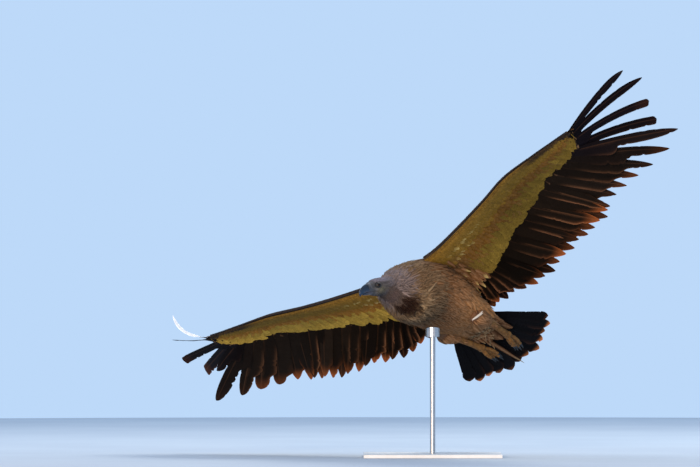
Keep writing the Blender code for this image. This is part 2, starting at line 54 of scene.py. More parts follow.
# Rump to neck: centre x, y, z, half width, rise and drop
BODY_STATIONS = np.array([
    (-0.258, 0.000, -0.006, 0.086, 0.011, 0.014),
    (-0.225, 0.000, -0.005, 0.090, 0.028, 0.034),
    (-0.170, 0.000, -0.002, 0.098, 0.052, 0.055),
    (-0.100, 0.000, 0.000, 0.108, 0.076, 0.080),
    (-0.020, 0.000, 0.000, 0.117, 0.090, 0.096),
    (0.050, 0.000, -0.004, 0.119, 0.093, 0.106),
    (0.110, 0.000, -0.014, 0.112, 0.087, 0.115),
    (0.160, 0.000, -0.030, 0.098, 0.076, 0.114),
    (0.195, 0.001, -0.046, 0.084, 0.066, 0.099),
    (0.225, 0.002, -0.062, 0.066, 0.054, 0.077),
    (0.252, 0.003, -0.077, 0.050, 0.043, 0.056),
    (0.275, 0.004, -0.090, 0.040, 0.036, 0.043),
])
HEAD_CENTRE = np.array((0.345, -0.004, -0.120))
# Neck to bill: distance along the head's axis, half width, rise and drop
HEAD_STATIONS = np.array([
    (-0.058, 0.034, 0.031, 0.036),
    (-0.040, 0.031, 0.030, 0.033),
    (-0.020, 0.029, 0.030, 0.030),
    (0.000, 0.027, 0.029, 0.028),
    (0.012, 0.023, 0.025, 0.026),
    (0.022, 0.018, 0.020, 0.022),
])
EYE_PLACE = np.array((0.004, 0.0205, 0.0085))
EYE_RADIUS = 0.0100

# Left wing from its root to the end of the hand: the front edge and the coverts' rear edge
LEADING_EDGE = np.array([
    (0.150, 0.070, 0.045),
    (0.150, 0.140, 0.056),
    (0.178, 0.260, 0.069),
    (0.213, 0.385, 0.083),
    (0.248, 0.499, 0.097),
    (0.241, 0.620, 0.125),
    (0.234, 0.695, 0.142),
    (0.226, 0.752, 0.156),
])
COVERT_EDGE = np.array([
    (-0.140, 0.085, 0.045),
    (-0.118, 0.160, 0.060),
    (-0.080, 0.255, 0.085),
    (-0.025, 0.385, 0.120),
    (0.031, 0.503, 0.142),
    (0.090, 0.640, 0.148),
    (0.140, 0.722, 0.149),
    (0.216, 0.760, 0.157),
])
# Thickness at the same stations, and camber as a share of the chord
ARM_THICKNESS = (0.056, 0.054, 0.048, 0.038, 0.034, 0.024, 0.018, 0.012)
ARM_CAMBER = 0.085
VANE_THICKNESS = 0.003
HAND_END = 7.0
# How far the middle of each wing is lifted, and where along it the lift starts and ends
WRIST_LIFT = {"left": 0.003, "right": -0.024}
LIFT_SPAN = (0.08, 0.96)

# Tips of the left wing's remiges, innermost first
SECONDARY_TIPS = np.array([
    (-0.222, 0.096, 0.022),
    (-0.204, 0.310, 0.008),
    (-0.186, 0.505, 0.058),
    (-0.178, 0.640, 0.110),
])
PRIMARY_TIPS = np.array([
    (-0.162, 0.682, 0.128),
    (-0.134, 0.738, 0.122),
    (-0.112, 0.802, 0.119),
    (-0.104, 0.876, 0.120),
    (-0.078, 0.965, 0.126),
    (-0.060, 1.022, 0.168),
    (-0.034, 0.962, 0.230),
    (0.040, 0.988, 0.254),
    (0.088, 0.996, 0.317),
    (0.127, 0.952, 0.364),
])
SECONDARY_COUNT = 18
# Stations of the covert edge where the first and the last of each leave it
SECONDARY_BASE, PRIMARY_BASE = (0.45, 4.15), (4.4, 7.0)
PRIMARY_BOW = (0.0, 0.0, 0.0, 0.002, 0.004, 0.006, 0.010, 0.015, 0.022, 0.032)
# Share of its length that a growing primary has reached, by its number from 1
MOULT = {"left": {}, "right": {6: 0.52}}
LAST_TIP_RAISE = {"left": -0.013, "right": 0.014}

TAIL_PIVOT = np.array((-0.200, 0.000, -0.004))
TAIL_COUNT, TAIL_HALF_ANGLE, TAIL_SWING = 12, 42.0, 1.3
TAIL_LENGTH, TAIL_EDGE_LENGTH = 0.316, 0.282
TAIL_ROLL, TAIL_DROOP = 9.0, 3.0
TAIL_ROOT_HALF_WIDTH = 0.098
TAIL_WEAR = 0.05

# Left leg: hip, middle of the thigh, ankle, ball of the foot and tips of the toes
LEG_PATH = np.array([
    (-0.090, 0.060, -0.036),
    (-0.150, 0.070, -0.044),
    (-0.212, 0.064, -0.052),
    (-0.300, 0.054, -0.056),
    (-0.398, 0.038, -0.050),
])
LEG_SHIFT = {"left": (0.0, 0.020, 0.012), "right": (0.0, 0.018, 0.014)}
THIGH_RADII = (0.045, 0.044, 0.036, 0.024, 0.012)
# Spread, length and height of each toe
TOES = (
    (-0.010, 0.066, -0.002),
    (0.000, 0.078, -0.001),
    (0.010, 0.060, -0.002),
    (-0.002, 0.042, -0.013),
)
SIDES = {"left": 1.0, "right": -1.0}
UP = np.array((0.0, 0.0, 1.0))
ASIDE = np.array((0.0, 1.0, 0.0))
FULL_TURN = 2 * math.pi
ALL_ROUND = (0.0, FULL_TURN)

# Length and breadth of a small feather's patch on the skin's bake map, and the map's margin
BAKE_PATCH = 0.003
MARGIN, INNER = 0.02, 0.96

CAMERA_PLACE, CAMERA_LENS, SENSOR_WIDTH = (-0.275, -30.0, 0.744), 463.5, 36.0
FLOOR_RADIUS = 6.5
# Name, place, aim, size, power and colour
LIGHTS = (
    ("key", (2.0, 3.0, 4.4), (0, 0, 0.55), 1.6, 190.0, (1.0, 0.95, 0.86)),
    ("fill", (-2.5, -8.5, 2.0), (0, 0, 0.55), 3.2, 900.0, (1.0, 0.72, 0.47)),
    ("rim", (-3.5, 2.5, 3.0), (-0.3, 0, 0.6), 1.5, 50.0, (1.0, 0.98, 0.95)),
)


# ---------------------------------------------------------------- frames, curves and surfaces

def turn(heading, pitch, roll):
    """Rotation to a heading, with the nose pitched up and the left wing rolled up, in degrees."""
    return np.array(Euler((math.radians(roll), math.radians(-pitch),
                           math.radians(heading))).to_matrix())


POSE = turn(HEADING, PITCH, BANK)
HEAD_TURN = POSE.T @ turn(HEAD_HEADING, HEAD_PITCH, HEAD_ROLL)
HEAD_X, HEAD_Z = HEAD_TURN[:, 0], HEAD_TURN[:, 2]


def on_stand(points):
    """Points of the bird's frame, in the part's frame."""
    return points @ POSE.T + np.array((0.0, 0.0, BODY_HEIGHT))


def unit(vectors):
    return vectors / np.maximum(np.linalg.norm(vectors, axis=-1, keepdims=True), 1e-12)


def dot(a, b):
    return np.sum(a * b, axis=-1)


def smooth(x, low, high):
    """0 below low, 1 above high, smooth between."""
    x = np.clip((x - low) / (high - low), 0.0, 1.0)
    return x * x * (3 - 2 * x)


def bump(x, centre, width):
    return np.exp(-((x - centre) / width) ** 2)


def curve(points, t):
    """Points at t on the smooth curve through the points; t counts the points from 0."""
    t = np.asarray(t, float)
    last = len(points) - 1
    start = np.clip(np.floor(t).astype(int), 0, last - 1)
    part = (t - start)[..., None]
    before, first, second, after = (points[np.clip(start + i, 0, last)] for i in (-1, 0, 1, 2))
    bend = 2 * before - 5 * first + 4 * second - after
    twist = 3 * first - before - 3 * second + after
    return 0.5 * (2 * first + (second - before) * part + bend * part ** 2 + twist * part ** 3)


def head_space(points):
    """Points of the bird's frame, in the head's."""
    return (points - HEAD_CENTRE) @ HEAD_TURN


def from_head(points):
    return np.asarray(points) @ HEAD_TURN.T + HEAD_CENTRE


# Stations of the whole body, rump to bill, with the upward direction of each
SPINE = np.vstack([
    np.hstack([BODY_STATIONS, np.tile(UP, (len(BODY_STATIONS), 1))]),
    np.hstack([from_head([(row[0], 0, 0) for row in HEAD_STATIONS[1:]]), HEAD_STATIONS[1:, 1:],
               np.tile(HEAD_Z, (len(HEAD_STATIONS) - 1, 1))]),
])
NECK_END = len(BODY_STATIONS) - 1
SPINE_END = len(SPINE) - 1.0


def eye_offset(x, z, length, height):
    """Squared distance from the eye, in the half axes of an ellipse on the side of the head."""
    return ((x - EYE_PLACE[0]) / length) ** 2 + ((z - EYE_PLACE[2]) / height) ** 2


def head_relief(local):
    """How far the head's skin stands out from its plain section, by place in the head's frame."""
    x, y, z = local[..., 0], np.abs(local[..., 1]), local[..., 2]
    brow = 0.0016 * bump(x, 0.004, 0.014) * bump(z, 0.0205, 0.0050)
    lores = 0.0022 * bump(x, 0.0185, 0.0075) * bump(z, 0.003, 0.0075)
    socket = 0.0012 * np.exp(-eye_offset(x, z, 0.013, 0.010))
    cheek = 0.0014 * bump(x, -0.004, 0.014) * bump(z, -0.012, 0.008)
    nape = 0.0012 * bump(x, -0.026, 0.011) * bump(z, -0.006, 0.016)
    return (brow - lores - socket + cheek) * smooth(y, 0.008, 0.016) - nape


def body_surface(t, angle):
    """Point of the body's outline at station t; the angle runs from the left side over the back."""
    inside = np.clip(t, 0.0, SPINE_END)
    row = curve(SPINE, inside)
    ahead = curve(SPINE, np.minimum(inside + 0.05, SPINE_END))
    behind = curve(SPINE, np.maximum(inside - 0.05, 0.0))
    along = (ahead - behind)[..., :3]
    forward = unit(along)
    side = unit(np.cross(row[..., 6:], forward))
    top = np.cross(forward, side)
    centre = row[..., :3] + along * ((t - inside) * 10.0)[..., None]
    rise = np.where(np.sin(angle) > 0, row[..., 4], row[..., 5])
    point = (centre + side * (row[..., 3] * np.cos(angle))[..., None]
             + top * (rise * np.sin(angle))[..., None])
    on_head = smooth(t, NECK_END + 0.6, NECK_END + 1.6)
    relief = head_relief(head_space(point)) * on_head
    return point + unit(point - centre) * relief[..., None]


def arm_surface(level, thin=1.0, margin=0.0):
    """The wing's arm and coverts: level 1 is the upper side and -1 the under side.

    The surface's second coordinate is the square root of the share of the chord from the front.
    """
    def surface(t, q):
        inside = np.clip(t, 0.0, HAND_END)
        share = np.where(q > 1, 2 * q - 1, q * np.abs(q))
        front, rear = curve(LEADING_EDGE, inside), curve(COVERT_EDGE, inside)
        thickness = np.interp(inside, np.arange(len(ARM_THICKNESS)), ARM_THICKNESS)
        before, after = np.maximum(inside - 0.3, 0.0), np.minimum(inside + 0.3, HAND_END)
        span = curve(LEADING_EDGE, after) - curve(LEADING_EDGE, before)
        outward = unit(span)
        chord = rear - front
        up = unit(np.cross(chord, outward))
        up = up * np.sign(up[..., 2:])
        length = np.linalg.norm(chord, axis=-1)
        held = np.clip(share, 0.0, 1.0)
        camber = (ARM_CAMBER * length * 4 * held * (1 - held)
                  - 0.10 * length * np.maximum(share - 1, 0.0))
        bulge = np.maximum(np.sin(np.pi * np.sqrt(held)), 0.0) ** 0.8
        half = (thickness - VANE_THICKNESS) / 2 * bulge + VANE_THICKNESS / 2
        half = np.maximum(half * thin - margin, 0.0006)
        beyond = (t - inside) * np.linalg.norm(span, axis=-1) / np.maximum(after - before, 1e-6)
        height = camber + level * half
        return (front + chord * share[..., None] + up * height[..., None]
                + outward * beyond[..., None])
    surface.sign = -level
    return surface


def surface_frame(surface, a, b):
    """Point, outward normal and the two partial derivatives of a surface."""
    step = 0.004
    point = surface(a, b)
    along = (surface(a + step, b) - surface(a - step, b)) / (2 * step)
    across = (surface(a, b + step) - surface(a, b - step)) / (2 * step)
    return point, unit(np.cross(across, along)) * getattr(surface, "sign", 1), along, across


def wing_place(side, points):
    """Points of the left wing, lifted as that wing is and mirrored for the right one."""
    part = np.clip((points[..., 1] - LIFT_SPAN[0]) / (LIFT_SPAN[1] - LIFT_SPAN[0]), 0.0, 1.0)
    lift = WRIST_LIFT[side] * np.sin(np.pi * part)
    return np.stack((points[..., 0], points[..., 1] * SIDES[side], points[..., 2] + lift), axis=-1)


def leg_place(side, points):
    part = smooth(-points[..., 0], 0.13, 0.26)[..., None]
    return points * np.array((1.0, SIDES[side], 1.0)) + np.array(LEG_SHIFT[side]) * part


# ---------------------------------------------------------------- meshes

def colour(red, green, blue):
    """Linear colour from everyday 0 to 255 values."""
    value = np.array((red, green, blue)) / 255.0
    return np.where(value > 0.04045, ((value + 0.055) / 1.055) ** 2.4, value / 12.92)


def mix(a, b, share):
    return a + (b - a) * np.asarray(share)[..., None]


# Edges bent more than this many degrees stay sharp, on feathers, horn and skin
FEATHER_CREASE, HARD_CREASE = 50.0, 60.0


class Batch:
    """Vertices, faces, colours and maps of many closed feathers, gathered into one mesh."""

    def __init__(self):
        self.points, self.faces, self.tints, self.vane, self.bake = [], [], [], [], []
        self.count = 0

    def add(self, points, faces, tints, vane, bake):
        """points (n, m, 3), faces (f, 4) of one feather's vertices, and per-vertex values."""
        feathers, size = points.shape[:2]
        offsets = self.count + size * np.arange(feathers)
        self.faces.append((faces[None] + offsets[:, None, None]).reshape(-1, 4))
        self.points.append(points.reshape(-1, 3))
        self.tints.append(np.broadcast_to(tints, (feathers, size, 4)).reshape(-1, 4))
        self.vane.append(np.broadcast_to(vane, (feathers, size, 2)).reshape(-1, 2))
        self.bake.append(np.broadcast_to(bake, (feathers, size, 2)).reshape(-1, 2))
        self.count += feathers * size

    def build(self, name, material, flip=False):
        points, faces = np.concatenate(self.points), np.concatenate(self.faces)
        if flip:
            faces = faces[:, ::-1]
        return make_mesh(name, on_stand(points), faces, material, np.concatenate(self.tints),
                         np.concatenate(self.vane), np.concatenate(self.bake), FEATHER_CREASE)


def paint(mesh, tints):
    """Keep a colour for each vertex, for the materials to read."""
    layer = mesh.color_attributes.new("tint", "FLOAT_COLOR", "POINT")
    layer.data.foreach_set("color", tints.ravel().astype(np.float32))


def vertex_values(mesh, key):
    """The vertices' "co" or "normal", as (n, 3)."""
    values = np.empty(len(mesh.vertices) * 3)
    mesh.vertices.foreach_get(key, values)
    return values.reshape(-1, 3)


def pair_map(across, along):
    """A map whose first value runs along each row of a grid and whose second runs over the rows."""
    return np.stack(np.meshgrid(across, along), axis=-1).reshape(-1, 2)


def make_mesh(name, points, faces, material, tints, vane, bake, crease=None):
    """An object from arrays of quads; its maps are given per vertex."""
    mesh = bpy.data.meshes.new(name)
    mesh.vertices.add(len(points))
    mesh.vertices.foreach_set("co", points.ravel().astype(np.float32))
    mesh.loops.add(faces.size)
    mesh.loops.foreach_set("vertex_index", faces.ravel().astype(np.int32))
    mesh.polygons.add(len(faces))
    mesh.polygons.foreach_set("loop_start",
                              np.arange(0, faces.size, faces.shape[1], dtype=np.int32))
    mesh.update(calc_edges=True)
    for map_name, values in (("OFBake", bake), ("vane", vane)):
        layer = mesh.uv_layers.new(name=map_name)
        layer.uv.foreach_set("vector", values[faces.ravel()].ravel().astype(np.float32))
    paint(mesh, tints)
    mesh.shade_smooth()
    if crease:
        mesh.set_sharp_from_angle(angle=math.radians(crease))
    mesh.materials.append(material)
    item = bpy.data.objects.new(name, mesh)
    bpy.context.scene.collection.objects.link(item)
    return item


def lens_faces(rows, columns):
    """Faces of a closed thin solid: a top and a bottom grid that share their rim.

    Vertices are the top grid, row by row, then the bottom's inner points.
    """
    top = np.arange(rows * columns).reshape(rows, columns)
    bottom = top.copy()
    inner = (rows - 2) * (columns - 2)
    bottom[1:-1, 1:-1] = rows * columns + np.arange(inner).reshape(rows - 2, columns - 2)
    upper = np.stack((top[:-1, :-1], top[1:, :-1], top[1:, 1:], top[:-1, 1:]), -1).reshape(-1, 4)
    lower = np.stack((bottom[:-1, :-1], bottom[:-1, 1:], bottom[1:, 1:], bottom[1:, :-1]),
                     -1).reshape(-1, 4)
    return np.concatenate((upper, lower))


def lens_points(base, face, height, thick, place=None):
    """Vertices of closed thin solids that stand at a height over their base points."""
    top = base + face * (height + thick / 2)[..., None]
    bottom = base + face * (height - thick / 2)[..., None]
    inner = bottom[:, 1:-1, 1:-1]
    points = np.concatenate([side.reshape(len(top), -1, 3) for side in (top, inner)], axis=1)
    return points if place is None else place(points)


def both_sides(grid):
    """Values of a grid (n, rows, columns, k) for the top and the bottom's inner points."""
    n, k = grid.shape[0], grid.shape[3]
    return np.concatenate((grid.reshape(n, -1, k), grid[:, 1:-1, 1:-1].reshape(n, -1, k)), axis=1)


# How far a small feather's edges bend down, as a share of its half width
FEATHER_CUP = 0.06
# Outlines of feathers: share of the full half width at each share of the length
OUTLINES = {
    "round": ((0, 0.45), (0.25, 0.80), (0.6, 1.0), (0.82, 0.93), (0.94, 0.62), (1, 0.16)),
    "blunt": ((0, 0.55), (0.3, 0.85), (0.7, 1.0), (0.9, 0.92), (0.97, 0.7), (1, 0.28)),
    "lance": ((0, 0.5), (0.3, 1.0), (0.55, 0.9), (0.8, 0.55), (1, 0.05)),
    "lock": ((0, 0.8), (0.3, 1.0), (0.7, 0.7), (1, 0.08)),
}


def lay(rng, batch, surface, a, b, heading, length, width, tint, bake, outline="round", rows=7,
        columns=3, sink=0.004, lift=0.001, tilt=0.0, thickness=0.0006, curl=0.0, place=None):
    """Lay feathers on a surface, with their roots at (a, b), along heading, shingled by their lift.

    tint(s, x, a, b) gives the colour at each share of the length and of the half width; bake(a, b)
    is the root's place on the skin's map. The root lies sink under the surface and the tip lift
    over it; tilt raises one edge, curl the tip, and place moves the vertices at the end.
    """
    a, b = np.asarray(a, float), np.asarray(b, float)
    count = len(a)
    length, width, sink, lift, curl, a_root, b_root = (
        np.broadcast_to(value, (count,)).astype(float)[:, None, None]
        for value in (length, width, sink, lift, curl, a, b))
    normal, along, across = surface_frame(surface, a, b)[1:]
    heading = np.broadcast_to(heading, normal.shape)
    ahead = unit(heading - normal * dot(heading, normal)[:, None])
    aside = np.cross(normal, ahead)
    aa, ab, bb = dot(along, along), dot(along, across), dot(across, across)
    det = np.maximum(aa * bb - ab * ab, 1e-12)

    def steps(direction):
        u, v = dot(direction, along), dot(direction, across)
        return ((u * bb - v * ab) / det)[:, None, None], ((v * aa - u * ab) / det)[:, None, None]

    s = (np.linspace(0.0, 1.0, rows) ** 0.9)[:, None]
    x = np.linspace(-1.0, 1.0, columns)
    profile = np.interp(s, *np.array(OUTLINES[outline]).T)
    forward = s * length
    out = x * profile * width / 2
    ragged = rng.normal(0.0, 0.05, (count, rows, columns)) * width * np.abs(x)
    out = out + ragged * smooth(s, 0.2, 0.7)
    out = out + rng.normal(0.0, 0.10, count)[:, None, None] * forward ** 2 / length
    (da, db), (ea, eb) = steps(ahead), steps(aside)
    grid_a, grid_b = a_root + forward * da + out * ea, b_root + forward * db + out * eb
    base, face = surface_frame(surface, grid_a, grid_b)[:2]
    height = -sink + (sink + lift) * s ** 0.8
    height = height + curl * (s ** 3) * length
    height = height + tilt * out - FEATHER_CUP * np.abs(out) * np.abs(x)
    thick = thickness * (1 - 0.6 * s) * (1 - x ** 2)
    points = lens_points(base, face, height, thick, place)
    s_grid, x_grid = (np.broadcast_to(value, out.shape) for value in (s, x))
    tints = tint(s_grid, x_grid, a_root, b_root)
    vane = np.stack(((x_grid + 1) / 2, s_grid), axis=-1)
    patch = bake(a, b)[:, None, None, :] + (vane - 0.5) * BAKE_PATCH
    batch.add(points, lens_faces(rows, columns), both_sides(tints), both_sides(vane),
              both_sides(patch))


def distances(line):
    """Distance from the start of a line of points to each of them."""
    return np.concatenate(([0.0], np.cumsum(np.linalg.norm(np.diff(line, axis=0), axis=1))))


# Share of a step by which a root is out of place, scattered and in a row of coverts
STAGGER, ROW_STAGGER = 0.35, 0.25


def scatter(rng, a_range, b_range, surface, spacing):
    """Roots in staggered rows on a surface; spacing is the step along a and along b, in metres."""
    roots_a, roots_b = [], []
    step_a, step_b = spacing
    middle = np.array([(b_range[0] + b_range[1]) / 2])
    samples = np.linspace(b_range[0], b_range[1], 25)
    a = a_range[0]
    row = 0
    while a < a_range[1]:
        here = np.array([a])
        run = distances(surface(np.full(25, a), samples))
        count = max(int(run[-1] / step_b), 1)
        shares = (np.arange(count) + 0.5 * (row % 2)
                  + rng.uniform(-STAGGER, STAGGER, count)) / count
        b = np.interp(np.clip(shares, 0, 1) * run[-1], run, samples)
        speed = np.linalg.norm(surface_frame(surface, here, middle)[2][0])
        da = step_a / max(speed, 1e-6)
        roots_a.append(a + rng.uniform(-STAGGER, STAGGER, count) * da)
        roots_b.append(b)
        a += da
        row += 1
    return np.concatenate(roots_a), np.concatenate(roots_b)


def span_row(rng, surface, q, t_range, spacing):
    """Roots of one row of coverts along the wing, at one share of the chord."""
    samples = np.linspace(*t_range, 60)
    run = distances(surface(samples, np.full(60, q)))
    count = max(int(run[-1] / spacing), 2)
    shares = (np.arange(count) + 0.5 + rng.uniform(-ROW_STAGGER, ROW_STAGGER, count)) / count
    t = np.interp(shares * run[-1], run, samples)
    return t, q * (1 + rng.uniform(-0.03, 0.03, count))


# ---------------------------------------------------------------- materials

class Graph:
    """A node material: its Principled shader's plain values are set by name."""

    def __init__(self, name, **settings):
        self.material = bpy.data.materials.new(name)
        self.material.use_nodes = True
        self.tree = self.material.node_tree
        self.shader = self.tree.nodes["Principled BSDF"]
        self.output = self.tree.nodes["Material Output"]
        for key, value in settings.items():
            self.shader.inputs[key.replace("_", " ")].default_value = value

    def put(self, socket, value):
        if isinstance(value, bpy.types.NodeSocket):
            self.tree.links.new(value, socket)
        else:
            socket.default_value = value

    def node(self, kind, inputs=None, **properties):
        item = self.tree.nodes.new("ShaderNode" + kind)
        for key, value in properties.items():
            setattr(item, key, value)
        for key, value in (inputs or {}).items():
            self.put(item.inputs[key], value)
        return item

    def math(self, operation, a, b=0.0):
        return self.node("Math", {0: a, 1: b}, operation=operation).outputs[0]

    def range(self, value, low, high, to_low=0.0, to_high=1.0):
        inputs = {"Value": value, "From Min": low, "From Max": high, "To Min": to_low,
                  "To Max": to_high}
        return self.node("MapRange", inputs, interpolation_type="SMOOTHSTEP").outputs["Result"]

    def mix(self, share, a, b, blend="MIX"):
        item = self.node("Mix", data_type="RGBA", blend_type=blend)
        for index, value in ((0, share), (6, a), (7, b)):
            if not isinstance(value, (bpy.types.NodeSocket, float)):
                value = (*value, 1.0)
            self.put(item.inputs[index], value)
        return item.outputs[2]

    def times(self, value, factor):
        return self.math("MULTIPLY", value, factor)

    def add(self, a, b):
        return self.math("ADD", a, b)

    def place(self):
        return self.node("NewGeometry").outputs["Position"]

    def tint(self):
        return self.node("Attribute", attribute_name="tint").outputs["Color"]

    def vane(self):
        return self.node("UVMap", uv_map="vane").outputs["UV"]

    def vector(self, x, y, z):
        return self.node("CombineXYZ", {"X": x, "Y": y, "Z": z}).outputs["Vector"]

    def shaded_tint(self, shade):
        return self.mix(1.0, self.tint(), self.vector(shade, shade, shade), "MULTIPLY")

    def noise(self, vector, scale, detail=3.0, roughness=0.55):
        inputs = {"Vector": vector, "Scale": scale, "Detail": detail, "Roughness": roughness}
        return self.node("TexNoise", inputs).outputs["Fac"]

    def stretched(self, vector, x, y, z=1.0):
        return self.node("Mapping", {"Vector": vector, "Scale": (x, y, z)}).outputs["Vector"]

    def shade(self, colour_socket, height=None, strength=0.2, distance=0.001, roughness=None):
        self.put(self.shader.inputs["Base Color"], colour_socket)
        if roughness is not None:
            self.put(self.shader.inputs["Roughness"], roughness)
        if height is not None:
            inputs = {"Height": height, "Strength": strength, "Distance": distance}
            normal = self.node("Bump", inputs).outputs["Normal"]
            self.put(self.shader.inputs["Normal"], normal)
        return self.material


def feather_material(name, barbs, roughness, glow, shaft, gloss=0.04, through=1.0, contrast=0.2):
    """Barbs run out from the shaft; glow is the share of light that the thin vane lets through.

    shaft is its colour and strength, gloss the specular level, through the tint of the light that
    passes, and contrast the depth of the barbs' streaks.
    """
    graph = Graph(name, Roughness=roughness, Specular_IOR_Level=gloss)
    across, along = graph.node("SeparateXYZ", {"Vector": graph.vane()}).outputs[:2]
    out = graph.times(graph.math("ABSOLUTE", graph.math("SUBTRACT", across, 0.5)), 2.0)
    slant = graph.math("SUBTRACT", along, graph.times(out, 0.10))
    broad = graph.noise(graph.place(), 45.0, 4.0)
    streak = graph.vector(graph.times(slant, barbs), graph.times(out, 2.0), graph.times(broad, 6.0))
    fine = graph.noise(streak, 1.0, 2.0, 0.7)
    shade = graph.add(graph.range(fine, 0.25, 0.75, 1 - contrast, 1 + contrast),
                      graph.range(broad, 0.3, 0.7, -0.08, 0.08))
    on_shaft = graph.times(graph.range(out, 0.02, 0.11, 1.0, 0.0), shaft[3])
    base = graph.mix(on_shaft, graph.shaded_tint(shade), shaft[:3])
    graph.shade(base, graph.add(fine, graph.times(on_shaft, 2.0)), 0.35, 0.0006)
    backlit = graph.mix(1.0, base, (through, through, through), "MULTIPLY")
    thin = graph.node("BsdfTranslucent", {"Color": backlit})
    blend = graph.node("MixShader", {0: glow, 1: graph.shader.outputs[0], 2: thin.outputs[0]})
    graph.put(graph.output.inputs["Surface"], blend.outputs[0])
    return graph.material


def skin_material():
    """Bare skin: pores, fine folds and blotches."""
    graph = Graph("skin", Roughness=0.62, Subsurface_Weight=0.06, Subsurface_Scale=0.003,
                  Specular_IOR_Level=0.35)
    place = graph.place()
    pores = graph.node("TexVoronoi", {"Vector": place, "Scale": 620.0}).outputs["Distance"]
    folds = graph.noise(graph.stretched(place, 1.0, 1.0, 0.45), 260.0, 5.0, 0.6)
    base = graph.shaded_tint(graph.range(graph.noise(place, 90.0, 3.0), 0.3, 0.7, 0.78, 1.2))
    height = graph.add(graph.times(pores, 0.6), folds)
    return graph.shade(base, height, 0.45, 0.0012, graph.range(folds, 0.2, 0.8, 0.5, 0.75))


def horn_material(name, roughness=0.3):
    """Horn with growth lines across it and scratches along it."""
    graph = Graph(name, Roughness=roughness, Coat_Weight=0.12, Coat_Roughness=0.25,
                  Specular_IOR_Level=0.3)
    vane = graph.vane()
    growth = graph.noise(graph.stretched(vane, 5.0, 60.0), 1.0, 4.0, 0.6)
    scratches = graph.noise(graph.stretched(vane, 60.0, 4.0), 1.0, 3.0, 0.7)
    blotch = graph.noise(graph.place(), 160.0, 3.0)
    mottle = graph.add(graph.times(growth, 0.6), graph.times(blotch, 0.4))
    base = graph.shaded_tint(graph.range(mottle, 0.3, 0.7, 0.75, 1.3))
    height = graph.add(growth, graph.times(scratches, 0.5))
    worn = graph.range(scratches, 0.2, 0.8, roughness - 0.08, roughness + 0.15)
    return graph.shade(base, height, 0.18, 0.0008, worn)


def eye_material():
    """Wet, flecked eyeball."""
    graph = Graph("eye", Roughness=0.08, Specular_IOR_Level=0.15, Coat_Weight=0.05,
                  Coat_Roughness=0.03)
    flecks = graph.noise(graph.place(), 900.0, 3.0)
    return graph.shade(graph.shaded_tint(graph.range(flecks, 0.3, 0.7, 0.7, 1.35)))


def leg_material():
    """Small scales with dark joints between them."""
    graph = Graph("leg_scales", Roughness=0.6, Specular_IOR_Level=0.1)
    place = graph.place()
    cells = graph.node("TexVoronoi", {"Vector": place, "Scale": 420.0}, feature="DISTANCE_TO_EDGE")
    edge = graph.range(cells.outputs["Distance"], 0.0, 0.12)
    scale = graph.mix(graph.range(graph.noise(place, 70.0, 4.0), 0.35, 0.65), SCALE_PALE,
                      SCALE_DARK)
    return graph.shade(graph.mix(edge, SCALE_JOINT, scale), edge, 0.5, 0.0006)


def paint_material():
    """Pale paint with a faint orange peel."""
    graph = Graph("stand_paint", Roughness=0.45)
    place = graph.place()
    peel, cloud = graph.noise(place, 420.0, 2.0), graph.noise(place, 14.0, 3.0)
    base = graph.mix(graph.range(cloud, 0.35, 0.65), *STAND_PAINT)
    return graph.shade(base, peel, 0.06, 0.0005, graph.range(cloud, 0.3, 0.7, 0.4, 0.52))


def steel_material():
    """Steel, brushed round the rod."""
    graph = Graph("stand_steel", Metallic=1.0, Roughness=0.32)
    brushed = graph.noise(graph.stretched(graph.place(), 1.0, 1.0, 60.0), 30.0, 4.0, 0.7)
    base = graph.mix(graph.range(brushed, 0.3, 0.7), *STAND_STEEL)
    return graph.shade(base, brushed, 0.08, 0.0003, graph.range(brushed, 0.3, 0.7, 0.26, 0.42))


def floor_material():
    """Plain and pale, with faint clouds."""
    graph = Graph("floor", Roughness=0.9)
    return graph.shade(graph.mix(graph.range(graph.noise(graph.place(), 1.5, 3.0), 0.3, 0.7),
                                 *FLOOR))


# ---------------------------------------------------------------- markings

CHEST, BELLY = colour(92, 60, 34), colour(124, 84, 50)
FLANK, VENT = colour(164, 114, 66), colour(80, 52, 32)
STREAK, BACK, PALE_RUMP = colour(168, 138, 108), colour(92, 70, 52), colour(206, 190, 164)
VENT_TIP, STRAY = colour(158, 146, 116), colour(238, 222, 200)
RUFF_PALE, RUFF_DARK, CROP = colour(120, 101, 76), colour(64, 47, 34), colour(36, 20, 14)
NECK_GREY, NECK_PALE, THROAT = colour(80, 71, 68), colour(112, 105, 110), colour(104, 85, 82)
FACE, CHEEK = colour(72, 74, 80), colour(98, 98, 84)
LORES, CROWN = colour(50, 54, 60), colour(122, 120, 136)
UNDER_PALE, UNDER_BROWN = colour(142, 118, 50), colour(138, 94, 30)
COVERT_SHAFT = colour(48, 38, 32)
UNDER_OLIVE, AXILLA, CREAM = colour(136, 104, 34), colour(102, 72, 38), colour(206, 184, 116)
HAND_DARK = colour(20, 17, 18)
UNDER_EDGE, UPPER_BROWN, UPPER_PALE = colour(26, 28, 36), colour(82, 60, 42), colour(140, 114, 82)
REMEX, REMEX_PALE, REMEX_TIP = colour(23, 17, 12), colour(116, 80, 56), colour(156, 90, 48)
# The second colour on this line is a painted highlight: near-white for the sun's glint on the upper
# face of the right wing's outermost primary.
PAINTED_GLINT, FINGER_DARK = colour(238, 239, 242), colour(15, 12, 17)
TAIL_DARK, TAIL_TIP = colour(9, 9, 12), colour(206, 128, 76)
# The middle colour on this line is a painted reflection: the sky's blue on the bill's black horn.
HORN_DARK, HORN_SKY_REFLECTION, HORN_PALE = colour(11, 14, 20), colour(22, 42, 66), colour(58, 60, 72)
PUPIL, IRIS, IRIS_RIM = colour(4, 4, 5), colour(30, 19, 13), colour(20, 13, 10)
SCALE_PALE, SCALE_DARK, SCALE_JOINT = colour(128, 94, 52), colour(98, 70, 38), colour(60, 41, 22)
STAND_PAINT = colour(205, 208, 210), colour(214, 217, 219)
STAND_STEEL = colour(165, 166, 168), colour(196, 197, 199)
FLOOR = colour(166, 178, 192), colour(172, 184, 197)
